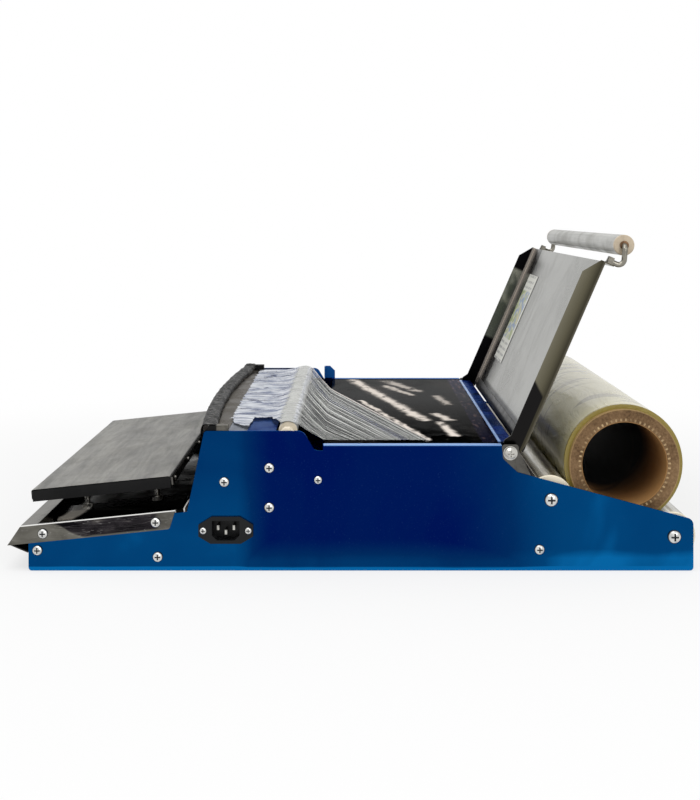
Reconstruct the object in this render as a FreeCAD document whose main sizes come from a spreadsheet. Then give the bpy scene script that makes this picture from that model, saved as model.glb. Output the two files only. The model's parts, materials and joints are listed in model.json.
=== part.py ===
"""Hand operated cling film wrapping machine, as an assembly of its separate pieces, in millimetres.

Frame: +X to the operator's right, -Y towards the operator, +Z up. The machine stands on z = 0.
Sizes that end in _back are measured from the side panels' front edge towards the rear, and sizes
that end in _up are heights above the table that the machine stands on.
"""
import FreeCAD, Part
import Sketcher
import math
import os
import re
from FreeCAD import Placement, Rotation, Vector

SIZES = [
    ("width", 485.0, "over the two side panels"),
    ("panel_length", 590.0, "side panel, front edge to rear edge"),
    ("origin_back", 287.5, "the frame's origin"),
    ("panel_skin", 1.5, "side panel sheet"),
    ("inner_skin", 1.5, "folded inner sheets"),
    ("bright_skin", 1.2, "polished sheets"),
    ("gap", 0.3, "between pieces that don't touch"),
    ("slip", 0.05, "radial running clearance of a shaft"),
    # Side panel outline
    ("front_edge_up", 37.6, "top of the panel's front edge"),
    ("step_up", 51.9, "foot of the tower's front edge"),
    ("step_back", 140.6, "foot of the tower's front edge"),
    ("tower_up", 123.8, "panel's top at the tower"),
    ("tower_front_back", 155.9, "top of the tower's front edge"),
    ("tower_rear_back", 243.5, "rear corner of the tower, before its curve"),
    ("tower_round", 8.0, "curve of that corner"),
    ("notch_back", 254.0, "front corner of the notch behind the tower"),
    ("notch_up", 106.2, "floor of the notch"),
    ("notch_round", 6.0, "curve in the notch"),
    ("table_up", 111.2, "table surface and panel edge beside it"),
    ("table_front_back", 261.3, "front end of the table level"),
    ("table_rear_in", 170.1, "rear end of the table level before the panels' rear edge"),
    ("hinge_cut_in", 168.8, "upper corner of the cut at the hinge before the rear edge"),
    ("hinge_cut_up", 99.0, "upper corner of the cut at the hinge"),
    ("slope_in", 155.9, "start of the rear slope before the rear edge"),
    ("slope_up", 87.0, "start of the rear slope"),
    ("rear_edge_up", 45.2, "top of the rear edge"),
    ("rear_round", 6.0, "upper rear corner"),
    ("small_round", 3.0, "other corners"),
    ("panel_flange", 9.5, "inward flange beside the table, with the panel's skin"),
    ("ear_length", 13.0, "small ear of the left panel"),
    ("ear_height", 20.3, "its height over the notch"),
    ("ear_turn", 7.0, "width of its turned end"),
    # Places of the screws that show on each panel
    ("base_front_screw_back", 8.0, ""),
    ("base_front_screw_up", 18.0, ""),
    ("base_middle_screw_back", 114.7, ""),
    ("base_middle_screw_up", 12.2, ""),
    ("base_rear_screw_in", 136.6, "before the rear edge"),
    ("base_rear_screw_up", 18.6, ""),
    ("cover_screw_back", 173.7, ""),
    ("cover_screw_up", 78.5, ""),
    ("strip_screw_back", 213.6, ""),
    ("strip_screw_high_up", 91.0, ""),
    ("strip_screw_low_up", 55.9, ""),
    ("wall_screw_back", 256.9, ""),
    ("wall_screw_up", 80.3, ""),
    ("tray_front_screw_back", 13.0, ""),
    ("tray_front_screw_up", 33.0, ""),
    ("tray_rear_screw_back", 113.0, ""),
    ("tray_rear_screw_up", 43.0, ""),
    ("screw_hole", 4.2, "clearance hole"),
    ("screw_shank", 4.0, ""),
    ("screw_head", 9.0, ""),
    ("small_screw_head", 7.6, "head of the table wall's screw"),
    ("screw_head_height", 2.8, ""),
    ("screw_length", 7.0, "under the head"),
    # Base pan
    ("base_inset", 2.0, "base pan behind the panels' front edge and before their rear edge"),
    ("base_side", 24.0, "height of the pan's turned up sides"),
    ("base_rear_lip", 8.0, "height of its rear lip"),
    ("vent_slot_length", 40.0, ""),
    ("vent_slot_width", 4.0, ""),
    ("vent_pitch", 12.0, ""),
    ("vent_count", 7.0, ""),
    ("vent_first_back", 330.0, "first slot"),
    # Front tray and hot plate, in a deck that rises towards the tower
    ("deck_back", -6.7, "tray's front rim"),
    ("deck_up", 39.9, "tray's front rim"),
    ("deck_tilt", 5.8, "degrees"),
    ("tray_length", 137.8, "front rim to the rear of the side flange"),
    ("tray_flange_foot", 130.9, "rear end of the flange's lower edge"),
    ("tray_flange", 16.2, "height of the side flange"),
    ("nose_reach", 13.6, "tip ahead of the rim"),
    ("nose_return", 3.0, "end of the return behind the rim"),
    ("nose_depth", 25.3, "end of the return under the rim"),
    ("rim_band", 15.0, "flat band along the front"),
    ("well_depth", 14.0, "well floor's underside under the rim"),
    ("well_length", 144.5, "front rim to the rear end of the well floor"),
    ("plate_start", 2.9, "hot plate's front edge behind the rim"),
    ("plate_depth", 127.0, "hot plate, front to rear"),
    ("plate_side_gap", 37.5, "hot plate's side inside the panel's outer face"),
    ("plate_rise", 23.3, "hot plate's top over the rim"),
    ("plate_thick", 7.0, "metal plate"),
    ("heater_thick", 1.6, "flat heating element"),
    ("plate_pan_thick", 1.5, "bottom cover"),
    ("cloth", 0.5, "thickness of the cloth cover"),
    ("cloth_drop", 9.0, "cloth turned down at the front and rear"),
    ("clamp_thick", 1.5, "clamp strip at the plate's rear edge"),
    ("clamp_height", 7.0, ""),
    ("stud_inset_across", 40.0, "stud from the plate's end"),
    ("stud_front", 44.0, "front studs behind the rim"),
    ("stud_rear", 110.0, "rear studs behind the rim"),
    ("stud_diameter", 5.0, ""),
    ("nut_across", 9.0, ""),
    ("nut_thick", 3.6, ""),
    ("rail_height", 8.0, "rail under each row of studs"),
    ("rail_width", 26.0, ""),
    ("rail_foot", 9.0, "foot of the rail on each side"),
    # Tower
    ("cover_setback", 1.0, "front cover behind the panels' front edge"),
    ("cover_foot_up", 49.0, "lower end of the front cover"),
    ("top_drop", 1.0, "tower's top sheets under the panels' top edge"),
    ("strip_front_back", 176.0, "seam between front cover and rear cover"),
    ("strip_rear_back", 219.0, "rear face of the tower's rear wall"),
    ("strip_foot_up", 34.0, "lower end of the rear wall"),
    ("flange_length", 24.0, "side flanges of the cross sheets"),
    ("strip_flange", 15.0, "side flanges of the rear cover"),
    # Bowed cutter bar
    ("cutter_side_gap", 11.5, "cutter's end inside the panel's outer face"),
    ("cutter_bow", 9.6, "how far its middle stands ahead of its ends"),
    ("cutter_overhang", 12.8, "bar's middle ahead of the front cover's top edge"),
    ("cutter_depth", 12.5, ""),
    ("cutter_height", 4.6, ""),
    ("cutter_groove", 2.0, "groove that holds the heating wire"),
    ("cutter_wire", 1.6, "heating wire"),
    ("sleeve_skin", 0.6, "cloth tape over the bar"),
    ("sleeve_drop", 7.0, "tape hanging before the bar"),
    ("end_block_depth", 20.0, "insulating block at each end of the bar"),
    ("end_block_height", 5.6, ""),
    # Front roller
    ("front_roller_back", 229.0, ""),
    ("front_roller_up", 120.0, ""),
    ("front_roller_diameter", 17.0, ""),
    ("front_roller_bore", 13.0, ""),
    ("front_roller_side_gap", 23.0, "cap's end inside the panel's outer face"),
    ("front_axle_diameter", 6.0, ""),
    ("front_bearing_thick", 9.0, ""),
    ("front_bearing_width", 13.0, ""),
    ("front_bearing_foot_up", 106.0, ""),
    ("cap_rim", 3.0, "width of a roller cap's rim"),
    ("cap_plug", 10.0, "length of a cap's plug in the tube"),
    # Table
    ("table_side_gap", 16.5, "table's side edge inside the panel's outer face"),
    ("table_skirt", 12.0, "turned down edges"),
    ("table_start_back", 262.5, ""),
    ("table_end_in", 171.7, "table's rear end before the rear edge"),
    ("wall_back", 262.5, "front face of the table's front wall"),
    ("wall_foot_up", 34.0, ""),
    ("wall_shoulder_up", 92.0, "over this height the cross walls are narrower than the lid's slots"),
    ("cross_in", 158.0, "rear face of the rear cross panel before the rear edge"),
    ("cross_side_gap", 20.5, "upper part of the rear cross panel inside the panel's outer face"),
    ("cross_flange", 13.2, "its top flange"),
    ("cross_foot_flange", 30.0, "its side flange at the base"),
    # Lid and hinge
    ("hinge_in", 162.3, "before the rear edge"),
    ("hinge_up", 104.0, ""),
    ("lid_lean", 66.5, "degrees from level, leaning back"),
    ("lid_side_gap", 12.5, "lid's side inside the panel's outer face"),
    ("lid_web_start", 12.5, "web's lower edge from the hinge"),
    ("lid_length", 190.0, "top from the hinge"),
    ("lid_front_edge", 3.65, "flange's free edge ahead of the hinge"),
    ("lid_web_behind", 12.4, "web's rear face behind the hinge"),
    ("lid_chamfer_drop", 15.8, "lower end of the flange's chamfer under the lid's top"),
    ("lid_chamfer_end", 8.0, "upper end of the chamfer behind the hinge"),
    ("lid_lip", 8.0, "top lip, turned back"),
    ("lid_ear", 7.5, "ear round the hinge bolt"),
    ("hinge_bolt", 6.0, ""),
    ("hinge_bolt_head", 10.5, ""),
    ("hinge_washer", 12.5, ""),
    ("washer_thick", 1.2, ""),
    ("bracket_thick", 2.5, ""),
    ("bracket_foot_up", 62.0, ""),
    ("bracket_rear_in", 143.5, ""),
    ("sticker_side_gap", 53.0, "sticker's side inside the lid's"),
    ("sticker_width", 73.0, ""),
    ("sticker_low", 49.4, "sticker's lower edge from the hinge"),
    ("sticker_drop", 32.6, "sticker's upper edge under the lid's top"),
    ("sticker_thick", 0.3, ""),
    ("lid_roller_over", 21.4, "lid roller's axis over the lid's top, along the lid"),
    ("lid_roller_behind", 25.1, "and behind the hinge"),
    ("lid_roller_diameter", 19.0, ""),
    ("lid_roller_bore", 15.0, ""),
    ("lid_roller_side_gap", 19.5, "cap's end inside the lid's side"),
    ("bail_wire", 5.0, ""),
    ("bail_side_gap", 14.0, "bail's leg inside the lid's side"),
    ("bail_knee_behind", 31.5, "bail's knee behind the hinge"),
    ("bail_end_behind", 15.0, "bail's end behind the hinge"),
    ("bail_bend", 5.0, "bend radius on the wire's axis"),
    ("clip_width", 16.0, "over its feet"),
    ("clip_length", 5.0, ""),
    ("clip_inset", 3.0, "clip behind the web's rear face"),
    ("clip_wall", 1.6, ""),
    # Rear rollers and film roll
    ("rear_roller_a_in", 126.2, "roller nearer the hinge, before the rear edge"),
    ("rear_roller_a_up", 62.7, ""),
    ("rear_roller_b_in", 17.0, "rearmost roller, before the rear edge"),
    ("rear_roller_b_up", 30.0, ""),
    ("rear_roller_diameter", 40.0, ""),
    ("rear_cap_diameter", 40.8, ""),
    ("rear_roller_wall", 1.5, ""),
    ("rear_roller_side_gap", 4.5, "cap from the panel's inner face"),
    ("rear_axle_diameter", 12.0, ""),
    ("end_screw", 6.0, ""),
    ("end_screw_head", 12.0, ""),
    ("end_screw_head_height", 3.6, ""),
    ("end_screw_length", 16.0, ""),
    ("core_bore", 76.2, ""),
    ("core_diameter", 99.0, ""),
    ("core_side_gap", 14.0, "core's end inside the panel's outer face"),
    ("film_diameter", 107.0, ""),
    ("film_side_gap", 6.0, "film's end inside the core's end"),
    ("roll_gap", 0.3, "between film and roller caps"),
    # Loose film over the tower and the table
    ("web_side_gap", 5.0, "loose film's side inside the table's"),
    ("web_thick", 0.8, ""),
    ("web_front_back", 179.0, ""),
    ("web_land_back", 264.0, "where the film reaches the table"),
    ("web_near_reach", 95.7, "cut end at the right side, behind the table's start"),
    ("web_far_reach", 6.7, "cut end at the left side"),
    ("web_torn_width", 53.0, "torn away front corner, width"),
    ("web_torn_back", 216.0, "rear end of the torn away corner"),
    # Power inlet
    ("inlet_back", 175.2, ""),
    ("inlet_up", 35.9, ""),
    ("inlet_screw_pitch", 40.0, ""),
    ("inlet_flange_length", 48.4, ""),
    ("inlet_flange_height", 24.4, ""),
    ("inlet_flange_thick", 2.6, ""),
    ("inlet_mouth_length", 24.5, ""),
    ("inlet_mouth_height", 17.4, ""),
    ("inlet_mouth_cut", 4.5, "cut lower corners"),
    ("inlet_wall", 1.5, ""),
    ("inlet_recess", 15.0, ""),
    ("inlet_depth", 22.0, "behind the flange"),
    ("pin_thick", 2.0, ""),
    ("pin_height", 4.0, ""),
    ("pin_pitch", 14.0, "live to neutral"),
    ("pin_drop", 4.0, "earth pin under the others"),
    ("pin_length", 12.0, "out of the recess floor"),
    ("inlet_screw_hole", 3.4, ""),
    ("inlet_screw", 3.2, ""),
    ("inlet_screw_head", 6.2, ""),
    # Switch, lamp and thermostat on the left panel
    ("switch_back", 178.0, ""),
    ("switch_up", 38.0, ""),
    ("switch_height", 28.0, ""),
    ("switch_width", 21.0, ""),
    ("switch_flange", 2.0, "bezel's width and thickness"),
    ("switch_depth", 20.0, "behind the bezel"),
    ("rocker_radius", 11.0, ""),
    ("rocker_width", 15.0, ""),
    ("rocker_pin", 3.0, ""),
    ("rocker_tilt", 10.0, "degrees"),
    ("lamp_back", 206.0, ""),
    ("lamp_up", 36.0, ""),
    ("lamp_diameter", 10.0, ""),
    ("dial_back", 300.0, ""),
    ("dial_up", 54.0, ""),
    ("dial_diameter", 52.0, ""),
    ("dial_thick", 1.0, ""),
    ("knob_diameter", 34.0, ""),
    ("knob_height", 16.0, ""),
    ("knob_shaft", 6.0, ""),
    ("thermostat_size", 34.0, ""),
    ("thermostat_depth", 28.0, ""),
    ("thermostat_bush", 9.0, ""),
    # Transformer and terminal block on the base pan
    ("transformer_back", 330.0, ""),
    ("transformer_side", 60.0, ""),
    ("transformer_length", 66.0, ""),
    ("transformer_height", 50.0, ""),
    ("transformer_stack", 32.0, ""),
    ("terminal_back", 300.0, ""),
    ("terminal_side", -120.0, ""),
    ("terminal_pitch", 10.0, ""),
    ("terminal_count", 6.0, ""),
]

# Sizes that follow from the others: half widths by their side gaps, and places counted from the rear
DERIVED = {
    "table_half_width": "(width / 2 - table_side_gap)",
    "lid_half_width": "(width / 2 - lid_side_gap)",
    "cutter_half_length": "(width / 2 - cutter_side_gap)",
    "cross_half_width": "(width / 2 - cross_side_gap)",
    "plate_width": "(width - 2 * plate_side_gap)",
    "front_roller_length": "(width - 2 * front_roller_side_gap)",
    "lid_roller_length": "(2 * (lid_half_width - lid_roller_side_gap))",
    "lid_chamfer_start": "(lid_length - lid_chamfer_drop)",
    "lid_roller_along": "(lid_length + lid_roller_over)",
    "sticker_high": "(lid_length - sticker_drop)",
    "bail_side": "(lid_half_width - bail_side_gap)",
    "core_length": "(width - 2 * core_side_gap)",
    "film_length": "(core_length - 2 * film_side_gap)",
    "web_half_width": "(table_half_width - web_side_gap)",
    "sticker_left": "(lid_half_width - sticker_side_gap)",
    "sticker_right": "(sticker_left - sticker_width)",
    "table_rear_back": "(panel_length - table_rear_in)",
    "hinge_cut_back": "(panel_length - hinge_cut_in)",
    "slope_back": "(panel_length - slope_in)",
    "table_end_back": "(panel_length - table_end_in)",
    "cross_back": "(panel_length - cross_in)",
    "hinge_back": "(panel_length - hinge_in)",
    "bracket_rear_back": "(panel_length - bracket_rear_in)",
    "base_rear_screw_back": "(panel_length - base_rear_screw_in)",
    "rear_roller_a_back": "(panel_length - rear_roller_a_in)",
    "rear_roller_b_back": "(panel_length - rear_roller_b_in)",
    "web_near_end_back": "(table_front_back + web_near_reach)",
    "web_far_end_back": "(table_front_back + web_far_reach)",
    "cutter_front_back": "(tower_front_back + cover_setback - cutter_overhang)",
}

doc = FreeCAD.newDocument("cling_film_wrapping_machine")
sheet = doc.addObject("Spreadsheet::Sheet", "Sizes")
for row, (alias, size, note) in enumerate(SIZES, 1):
    sheet.set("A%d" % row, alias)
    sheet.set("B%d" % row, str(size))
    sheet.set("C%d" % row, note)
    sheet.setAlias("B%d" % row, alias)
doc.recompute()

ALIASES = {alias for alias, size, note in SIZES}
PARTS = []


def cell(name):
    """A size's cell of the sheet, or the formula of a derived size. Other words stay."""
    if name in DERIVED:
        return bound(DERIVED[name])
    return "Sizes." + name if name in ALIASES else name


def bound(formula):
    """The formula as an expression on the sheet's cells."""
    return re.sub(r"[a-z][a-z_]*", lambda match: cell(match[0]), str(formula))


def value(formula):
    """What the formula gives now."""
    return float(sheet.evalExpression(bound(formula)))


# Frames: the machine's, the sloping deck of the front tray, and the lid's at its hinge

MACHINE = {"y": "-origin_back"}
DECK = {"y": "deck_back - origin_back", "z": "deck_up", "tilt": "deck_tilt", "about": Vector(1, 0, 0)}
LID = {"y": "hinge_back - origin_back", "z": "hinge_up", "tilt": "90 - lid_lean", "about": Vector(-1, 0, 0)}


def at(back, up, across="0"):
    """A frame at a point of the machine."""
    return {"x": across, "y": "%s - origin_back" % back, "z": up}


def on_lid(along, behind):
    """A frame at a point of the lid, level with the machine's axes."""
    lean = "(lid_lean * 1 deg)"
    y = "hinge_back - origin_back + (%s) * cos%s + (%s) * sin%s" % (along, lean, behind, lean)
    z = "hinge_up + (%s) * sin%s - (%s) * cos%s" % (along, lean, behind, lean)
    return {"y": y, "z": z}


def place(piece, frame):
    about = frame.get("about", Vector(1, 0, 0))
    tilt = value(frame.get("tilt", "0"))
    piece.Placement = Placement(Vector(), Rotation(about, tilt))
    for axis in "xyz":
        if axis in frame:
            piece.setExpression("Placement.Base." + axis, bound(frame[axis]))
    if "tilt" in frame:
        piece.setExpression("Placement.Rotation.Angle", bound(frame["tilt"]))
    return piece


def new_body(label, frame=MACHINE):
    body = doc.addObject("PartDesign::Body", label)
    body.Label = label
    body.AllowCompound = True
    PARTS.append(body)
    return place(body, frame)


def add_feature(label, shape):
    """A sub-part whose form is made of Part's own shapes, in the machine's axes."""
    piece = doc.addObject("Part::Feature", label)
    piece.Label = label
    piece.Shape = shape
    piece.Placement = Placement()
    PARTS.append(piece)
    return piece


# Sketches: YZ has the rear to its right and up, XY has the width to its right and the rear up

def sketch_on(body, role, offset="0"):
    sketch = body.newObject("Sketcher::SketchObject", body.Label + "_sketch")
    plane = next(f for f in body.Origin.OriginFeatures if f.Role == role + "_Plane")
    sketch.AttachmentSupport = [(plane, "")]
    sketch.MapMode = "FlatFace"
    sketch.setExpression("AttachmentOffset.Base.z", bound(offset))
    return sketch


def fix(sketch, constraint, formula):
    index = sketch.addConstraint(constraint)
    sketch.setExpression("Constraints[%d]" % index, bound(formula))


def pin_point(sketch, line, end, point):
    """Ties one end of a line to its two formulas."""
    for kind, formula in zip(("DistanceX", "DistanceY"), point):
        fix(sketch, Sketcher.Constraint(kind, -1, 1, line, end, value(formula)), formula)


def add_loop(sketch, points):
    """Closed chain of lines through the points, joined end to end."""
    first = sketch.GeometryCount
    count = len(points)
    for index in range(count):
        sketch.addGeometry(Part.LineSegment(points[index], points[(index + 1) % count]), False)
    for index in range(count):
        following = first + (index + 1) % count
        sketch.addConstraint(Sketcher.Constraint("Coincident", first + index, 2, following, 1))
    return first


def outline(sketch, corners):
    """Closed outline whose corners are pairs of formulas."""
    first = add_loop(sketch, [Vector(value(x), value(y), 0) for x, y in corners])
    for index, corner in enumerate(corners):
        pin_point(sketch, first + index, 1, corner)
    return sketch


def rectangle(sketch, low_x, high_x, low_y, high_y):
    return outline(sketch, [(low_x, low_y), (high_x, low_y), (high_x, high_y), (low_x, high_y)])


def centred(sketch, x, y, half_x, half_y):
    """Rectangle about a middle point."""
    low_x = "%s - %s" % (x, half_x)
    high_x = "%s + %s" % (x, half_x)
    low_y = "%s - %s" % (y, half_y)
    high_y = "%s + %s" % (y, half_y)
    return rectangle(sketch, low_x, high_x, low_y, high_y)


def circle(sketch, x, y, diameter):
    middle = Vector(value(x), value(y), 0)
    index = sketch.addGeometry(Part.Circle(middle, Vector(0, 0, 1), value(diameter) / 2), False)
    fix(sketch, Sketcher.Constraint("Diameter", index, value(diameter)), diameter)
    pin_point(sketch, index, 3, (x, y))
    return sketch


def offset_points(path, shift):
    """The path moved sideways by shift, to its left where shift is positive."""
    sides = []
    for start, end in zip(path, path[1:]):
        run = (end - start).normalize()
        sides.append(Vector(-run.y, run.x, 0))
    moved = [path[0] + sides[0] * shift]
    for point, before, after in zip(path[1:], sides, sides[1:]):
        moved.append(point + (before + after) * (shift / (1 + before.dot(after))))
    return moved + [path[-1] + sides[-1] * shift]


def bent_sheet(sketch, path, skin, side=1):
    """Section of a folded sheet: one face follows the path, the other lies a skin away on one side."""
    outer = [Vector(value(x), value(y), 0) for x, y in path]
    inner = offset_points(outer, side * value(skin))
    count = len(outer)
    first = add_loop(sketch, outer + inner[::-1])
    for index, point in enumerate(path):
        pin_point(sketch, first + index, 1, point)
    for index in range(count - 1):
        facing = first + 2 * count - 2 - index
        sketch.addConstraint(Sketcher.Constraint("Parallel", first + index, facing))
        distance = Sketcher.Constraint("Distance", facing, 1, first + index, value(skin))
        fix(sketch, distance, skin)
    sketch.addConstraint(Sketcher.Constraint("Perpendicular", first + count - 1, first + count - 2))
    sketch.addConstraint(Sketcher.Constraint("Perpendicular", first + 2 * count - 1, first))
    return sketch


# Features

def pad(body, sketch, length, both_ways=False, backwards=False):
    feature = body.newObject("PartDesign::Pad", body.Label + "_pad")
    feature.Profile = sketch
    feature.setExpression("Length", bound(length))
    feature.SideType = "Symmetric" if both_ways else "One side"
    feature.Reversed = backwards
    return feature


def pocket(body, sketch, depth=None, both_ways=False, backwards=False):
    """Cuts to a depth against the sketch's normal, or right through both ways."""
    feature = body.newObject("PartDesign::Pocket", body.Label + "_pocket")
    feature.Profile = sketch
    if depth is None:
        feature.Type = "ThroughAll"
        feature.SideType = "Symmetric"
    else:
        feature.setExpression("Length", bound(depth))
        feature.SideType = "Symmetric" if both_ways else "One side"
        feature.Reversed = backwards
    return feature


def turn(body, *profiles):
    """Solids of revolution about the width axis, from profiles of (place across, radius) formulas."""
    sketch = sketch_on(body, "XY")
    for profile in profiles:
        outline(sketch, profile)
    feature = body.newObject("PartDesign::Revolution", body.Label + "_turned")
    feature.Profile = sketch
    feature.ReferenceAxis = (sketch, ["H_Axis"])
    feature.Angle = 360
    return feature


def drill(body, places, diameter):
    """Holes along the width through every wall at the given places."""
    sketch = sketch_on(body, "YZ")
    for back, up in places:
        circle(sketch, back, up, diameter)
    return pocket(body, sketch)


def dress_edges(body, kind, corners, size):
    """Rounds or chamfers the edges along the width that pass through the given corners."""
    doc.recompute()
    places = [(value(back), value(up)) for back, up in corners]
    names = []
    for number, edge in enumerate(body.Tip.Shape.Edges, 1):
        ends = [vertex.Point for vertex in edge.Vertexes]
        if len(ends) != 2 or (ends[0] - ends[1]).cross(Vector(1, 0, 0)).Length > 1e-6:
            continue
        if any(math.hypot(ends[0].y - back, ends[0].z - up) < 1e-3 for back, up in places):
            names.append("Edge%d" % number)
    base = body.Tip
    feature = body.newObject("PartDesign::" + kind, body.Label + "_" + kind.lower())
    feature.Base = (base, names)
    feature.setExpression("Radius" if kind == "Fillet" else "Size", bound(size))
    return feature


def both_sides(body, draw, inner, thickness):
    """Pads the same sketch at both sides of the machine, from an inner distance outwards."""
    for sign, flipped in ((1, False), (-1, True)):
        sketch = draw(sketch_on(body, "YZ", "%d * (%s)" % (sign, inner)))
        pad(body, sketch, thickness, backwards=flipped)


INNER_HALF = "(width / 2 - panel_skin)"

BASE_SCREWS = [
    ("base_front_screw_back", "base_front_screw_up"),
    ("base_middle_screw_back", "base_middle_screw_up"),
    ("base_rear_screw_back", "base_rear_screw_up"),
]
COVER_SCREWS = [("cover_screw_back", "cover_screw_up")]
STRIP_SCREWS = [("strip_screw_back", "strip_screw_high_up"), ("strip_screw_back", "strip_screw_low_up")]
WALL_SCREWS = [("wall_screw_back", "wall_screw_up")]
TRAY_SCREWS = [
    ("tray_front_screw_back", "tray_front_screw_up"),
    ("tray_rear_screw_back", "tray_rear_screw_up"),
]
REAR_ROLLERS = {
    "a": ("rear_roller_a_back", "rear_roller_a_up"),
    "b": ("rear_roller_b_back", "rear_roller_b_up"),
}


# Side panels

def side_panel(label, side):
    """Painted sheet cut to the machine's outline, with an inward flange beside the table."""
    body = new_body(label)
    outer = "%d * (width / 2 - %s)" % (side, "panel_skin" if side > 0 else "0")
    corners = [
        ("0", "0"),
        ("panel_length", "0"),
        ("panel_length", "rear_edge_up"),
        ("slope_back", "slope_up"),
        ("hinge_cut_back", "hinge_cut_up"),
        ("table_rear_back", "table_up"),
        ("table_front_back", "table_up"),
        ("table_front_back", "notch_up"),
        ("notch_back", "notch_up"),
        ("tower_rear_back", "tower_up"),
        ("tower_front_back", "tower_up"),
        ("step_back", "step_up"),
        ("0", "front_edge_up"),
    ]
    pad(body, outline(sketch_on(body, "YZ", outer), corners), "panel_skin")
    dress_edges(body, "Fillet", [corners[2]], "rear_round")
    dress_edges(body, "Fillet", [corners[9]], "tower_round")
    dress_edges(body, "Fillet", [corners[8]], "notch_round")
    dress_edges(body, "Fillet", [corners[i] for i in (0, 1, 4, 10)], "small_round")
    flange_edge = "%d * (width / 2 - panel_skin)" % side
    flange = sketch_on(body, "YZ", flange_edge)
    rectangle(flange, "table_front_back", "table_rear_back", "table_up - panel_skin", "table_up")
    pad(body, flange, "panel_flange - panel_skin", backwards=side > 0)
    drill(body, BASE_SCREWS + COVER_SCREWS + STRIP_SCREWS + WALL_SCREWS + TRAY_SCREWS, "screw_hole")
    drill(body, REAR_ROLLERS.values(), "end_screw + 2 * slip")
    return body


def side_panel_right():
    body = side_panel("side_panel_right", 1)
    mouth = sketch_on(body, "YZ")
    half = "(inlet_mouth_length / 2 + inlet_wall + slip)"
    tall = "(inlet_mouth_height / 2 + inlet_wall + slip)"
    centred(mouth, "inlet_back", "inlet_up", half, tall)
    pocket(body, mouth)
    drill(body, INLET_SCREWS, "inlet_screw_hole")


def side_panel_left():
    body = side_panel("side_panel_left", -1)
    opening = sketch_on(body, "YZ")
    half = "(switch_width / 2 - switch_flange + slip)"
    tall = "(switch_height / 2 - switch_flange + slip)"
    centred(opening, "switch_back", "switch_up", half, tall)
    pocket(body, opening)
    drill(body, [("lamp_back", "lamp_up")], "lamp_diameter - 2 + 2 * slip")
    drill(body, [("dial_back", "dial_up")], "thermostat_bush + 2 * slip")
    # The ear stands on the notch's floor and its rear end is turned inwards
    ear = sketch_on(body, "YZ", "-width / 2")
    start = "notch_back - 2"
    rise = "notch_up + ear_height"
    outline(ear, [
        (start, "notch_up - 4"),
        (start + " + ear_length", "notch_up - 4"),
        (start + " + ear_length", rise + " - 6"),
        (start + " + ear_length - 6", rise),
        (start, rise),
    ])
    pad(body, ear, "panel_skin")
    turned = sketch_on(body, "YZ", "-width / 2 + panel_skin")
    rectangle(turned, start, start + " + panel_skin", "notch_up + 2", rise)
    pad(body, turned, "ear_turn")


INLET_SCREWS = [
    ("inlet_back - inlet_screw_pitch / 2", "inlet_up"),
    ("inlet_back + inlet_screw_pitch / 2", "inlet_up"),
]


# Base pan and cross sheets

def base_pan():
    """Floor pan between the panels, with turned up sides and a low rear lip."""
    body = new_body("base_pan")
    front = "base_inset"
    rear = "panel_length - base_inset"
    pad(body, rectangle(sketch_on(body, "XY"), "-" + INNER_HALF, INNER_HALF, front, rear), "base_side")
    inside = sketch_on(body, "XY", "base_side")
    reach = "(%s - inner_skin)" % INNER_HALF
    rectangle(inside, "-" + reach, reach, front + " + inner_skin", rear + " - inner_skin")
    pocket(body, inside, "base_side - inner_skin")
    lip = sketch_on(body, "XY", "base_side")
    rectangle(lip, "-" + reach, reach, rear + " - 2 * inner_skin", rear + " + 1")
    pocket(body, lip, "base_side - base_rear_lip")
    drill(body, BASE_SCREWS, "screw_hole")
    for side in (-1, 1):
        slots = sketch_on(body, "XY", "inner_skin")
        low = "%d * 100 - vent_slot_length / 2" % side
        high = "%d * 100 + vent_slot_length / 2" % side
        rectangle(slots, low, high, "vent_first_back", "vent_first_back + vent_slot_width")
        cut = pocket(body, slots, "2 * inner_skin")
        repeat = body.newObject("PartDesign::LinearPattern", "base_pan_vents")
        repeat.Originals = [cut]
        repeat.Direction = (slots, ["V_Axis"])
        repeat.setExpression("Length", bound("vent_pitch * (vent_count - 1)"))
        repeat.Occurrences = int(value("vent_count"))
        body.Tip = repeat


def cover_line(up):
    """Front face of the tower's cover at a height: it leans like the panels' front edge."""
    lean = "(tower_front_back - step_back) / (tower_up - step_up)"
    return "step_back + cover_setback + (%s - step_up) * %s" % (up, lean)


COVER_TOP = "(tower_up - top_drop)"


def tower_front_cover():
    """Polished sheet that leans up behind the hot plate and folds back over the tower's top."""
    body = new_body("tower_front_cover")
    section = sketch_on(body, "YZ")
    bent_sheet(section, [
        ("strip_front_back", COVER_TOP),
        (cover_line(COVER_TOP), COVER_TOP),
        (cover_line("cover_foot_up"), "cover_foot_up"),
    ], "inner_skin", 1)
    pad(body, section, "2 * %s" % INNER_HALF, both_ways=True)

    def flange(sketch):
        low = "cover_screw_up - flange_length / 2"
        high = "cover_screw_up + flange_length / 2"
        return outline(sketch, [
            (cover_line("(%s)" % low) + " + inner_skin", low),
            ("cover_screw_back + flange_length / 2", low),
            ("cover_screw_back + flange_length / 2", high),
            (cover_line("(%s)" % high) + " + inner_skin", high),
        ])

    both_sides(body, flange, "%s - inner_skin" % INNER_HALF, "inner_skin")
    drill(body, COVER_SCREWS, "screw_hole")


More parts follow.
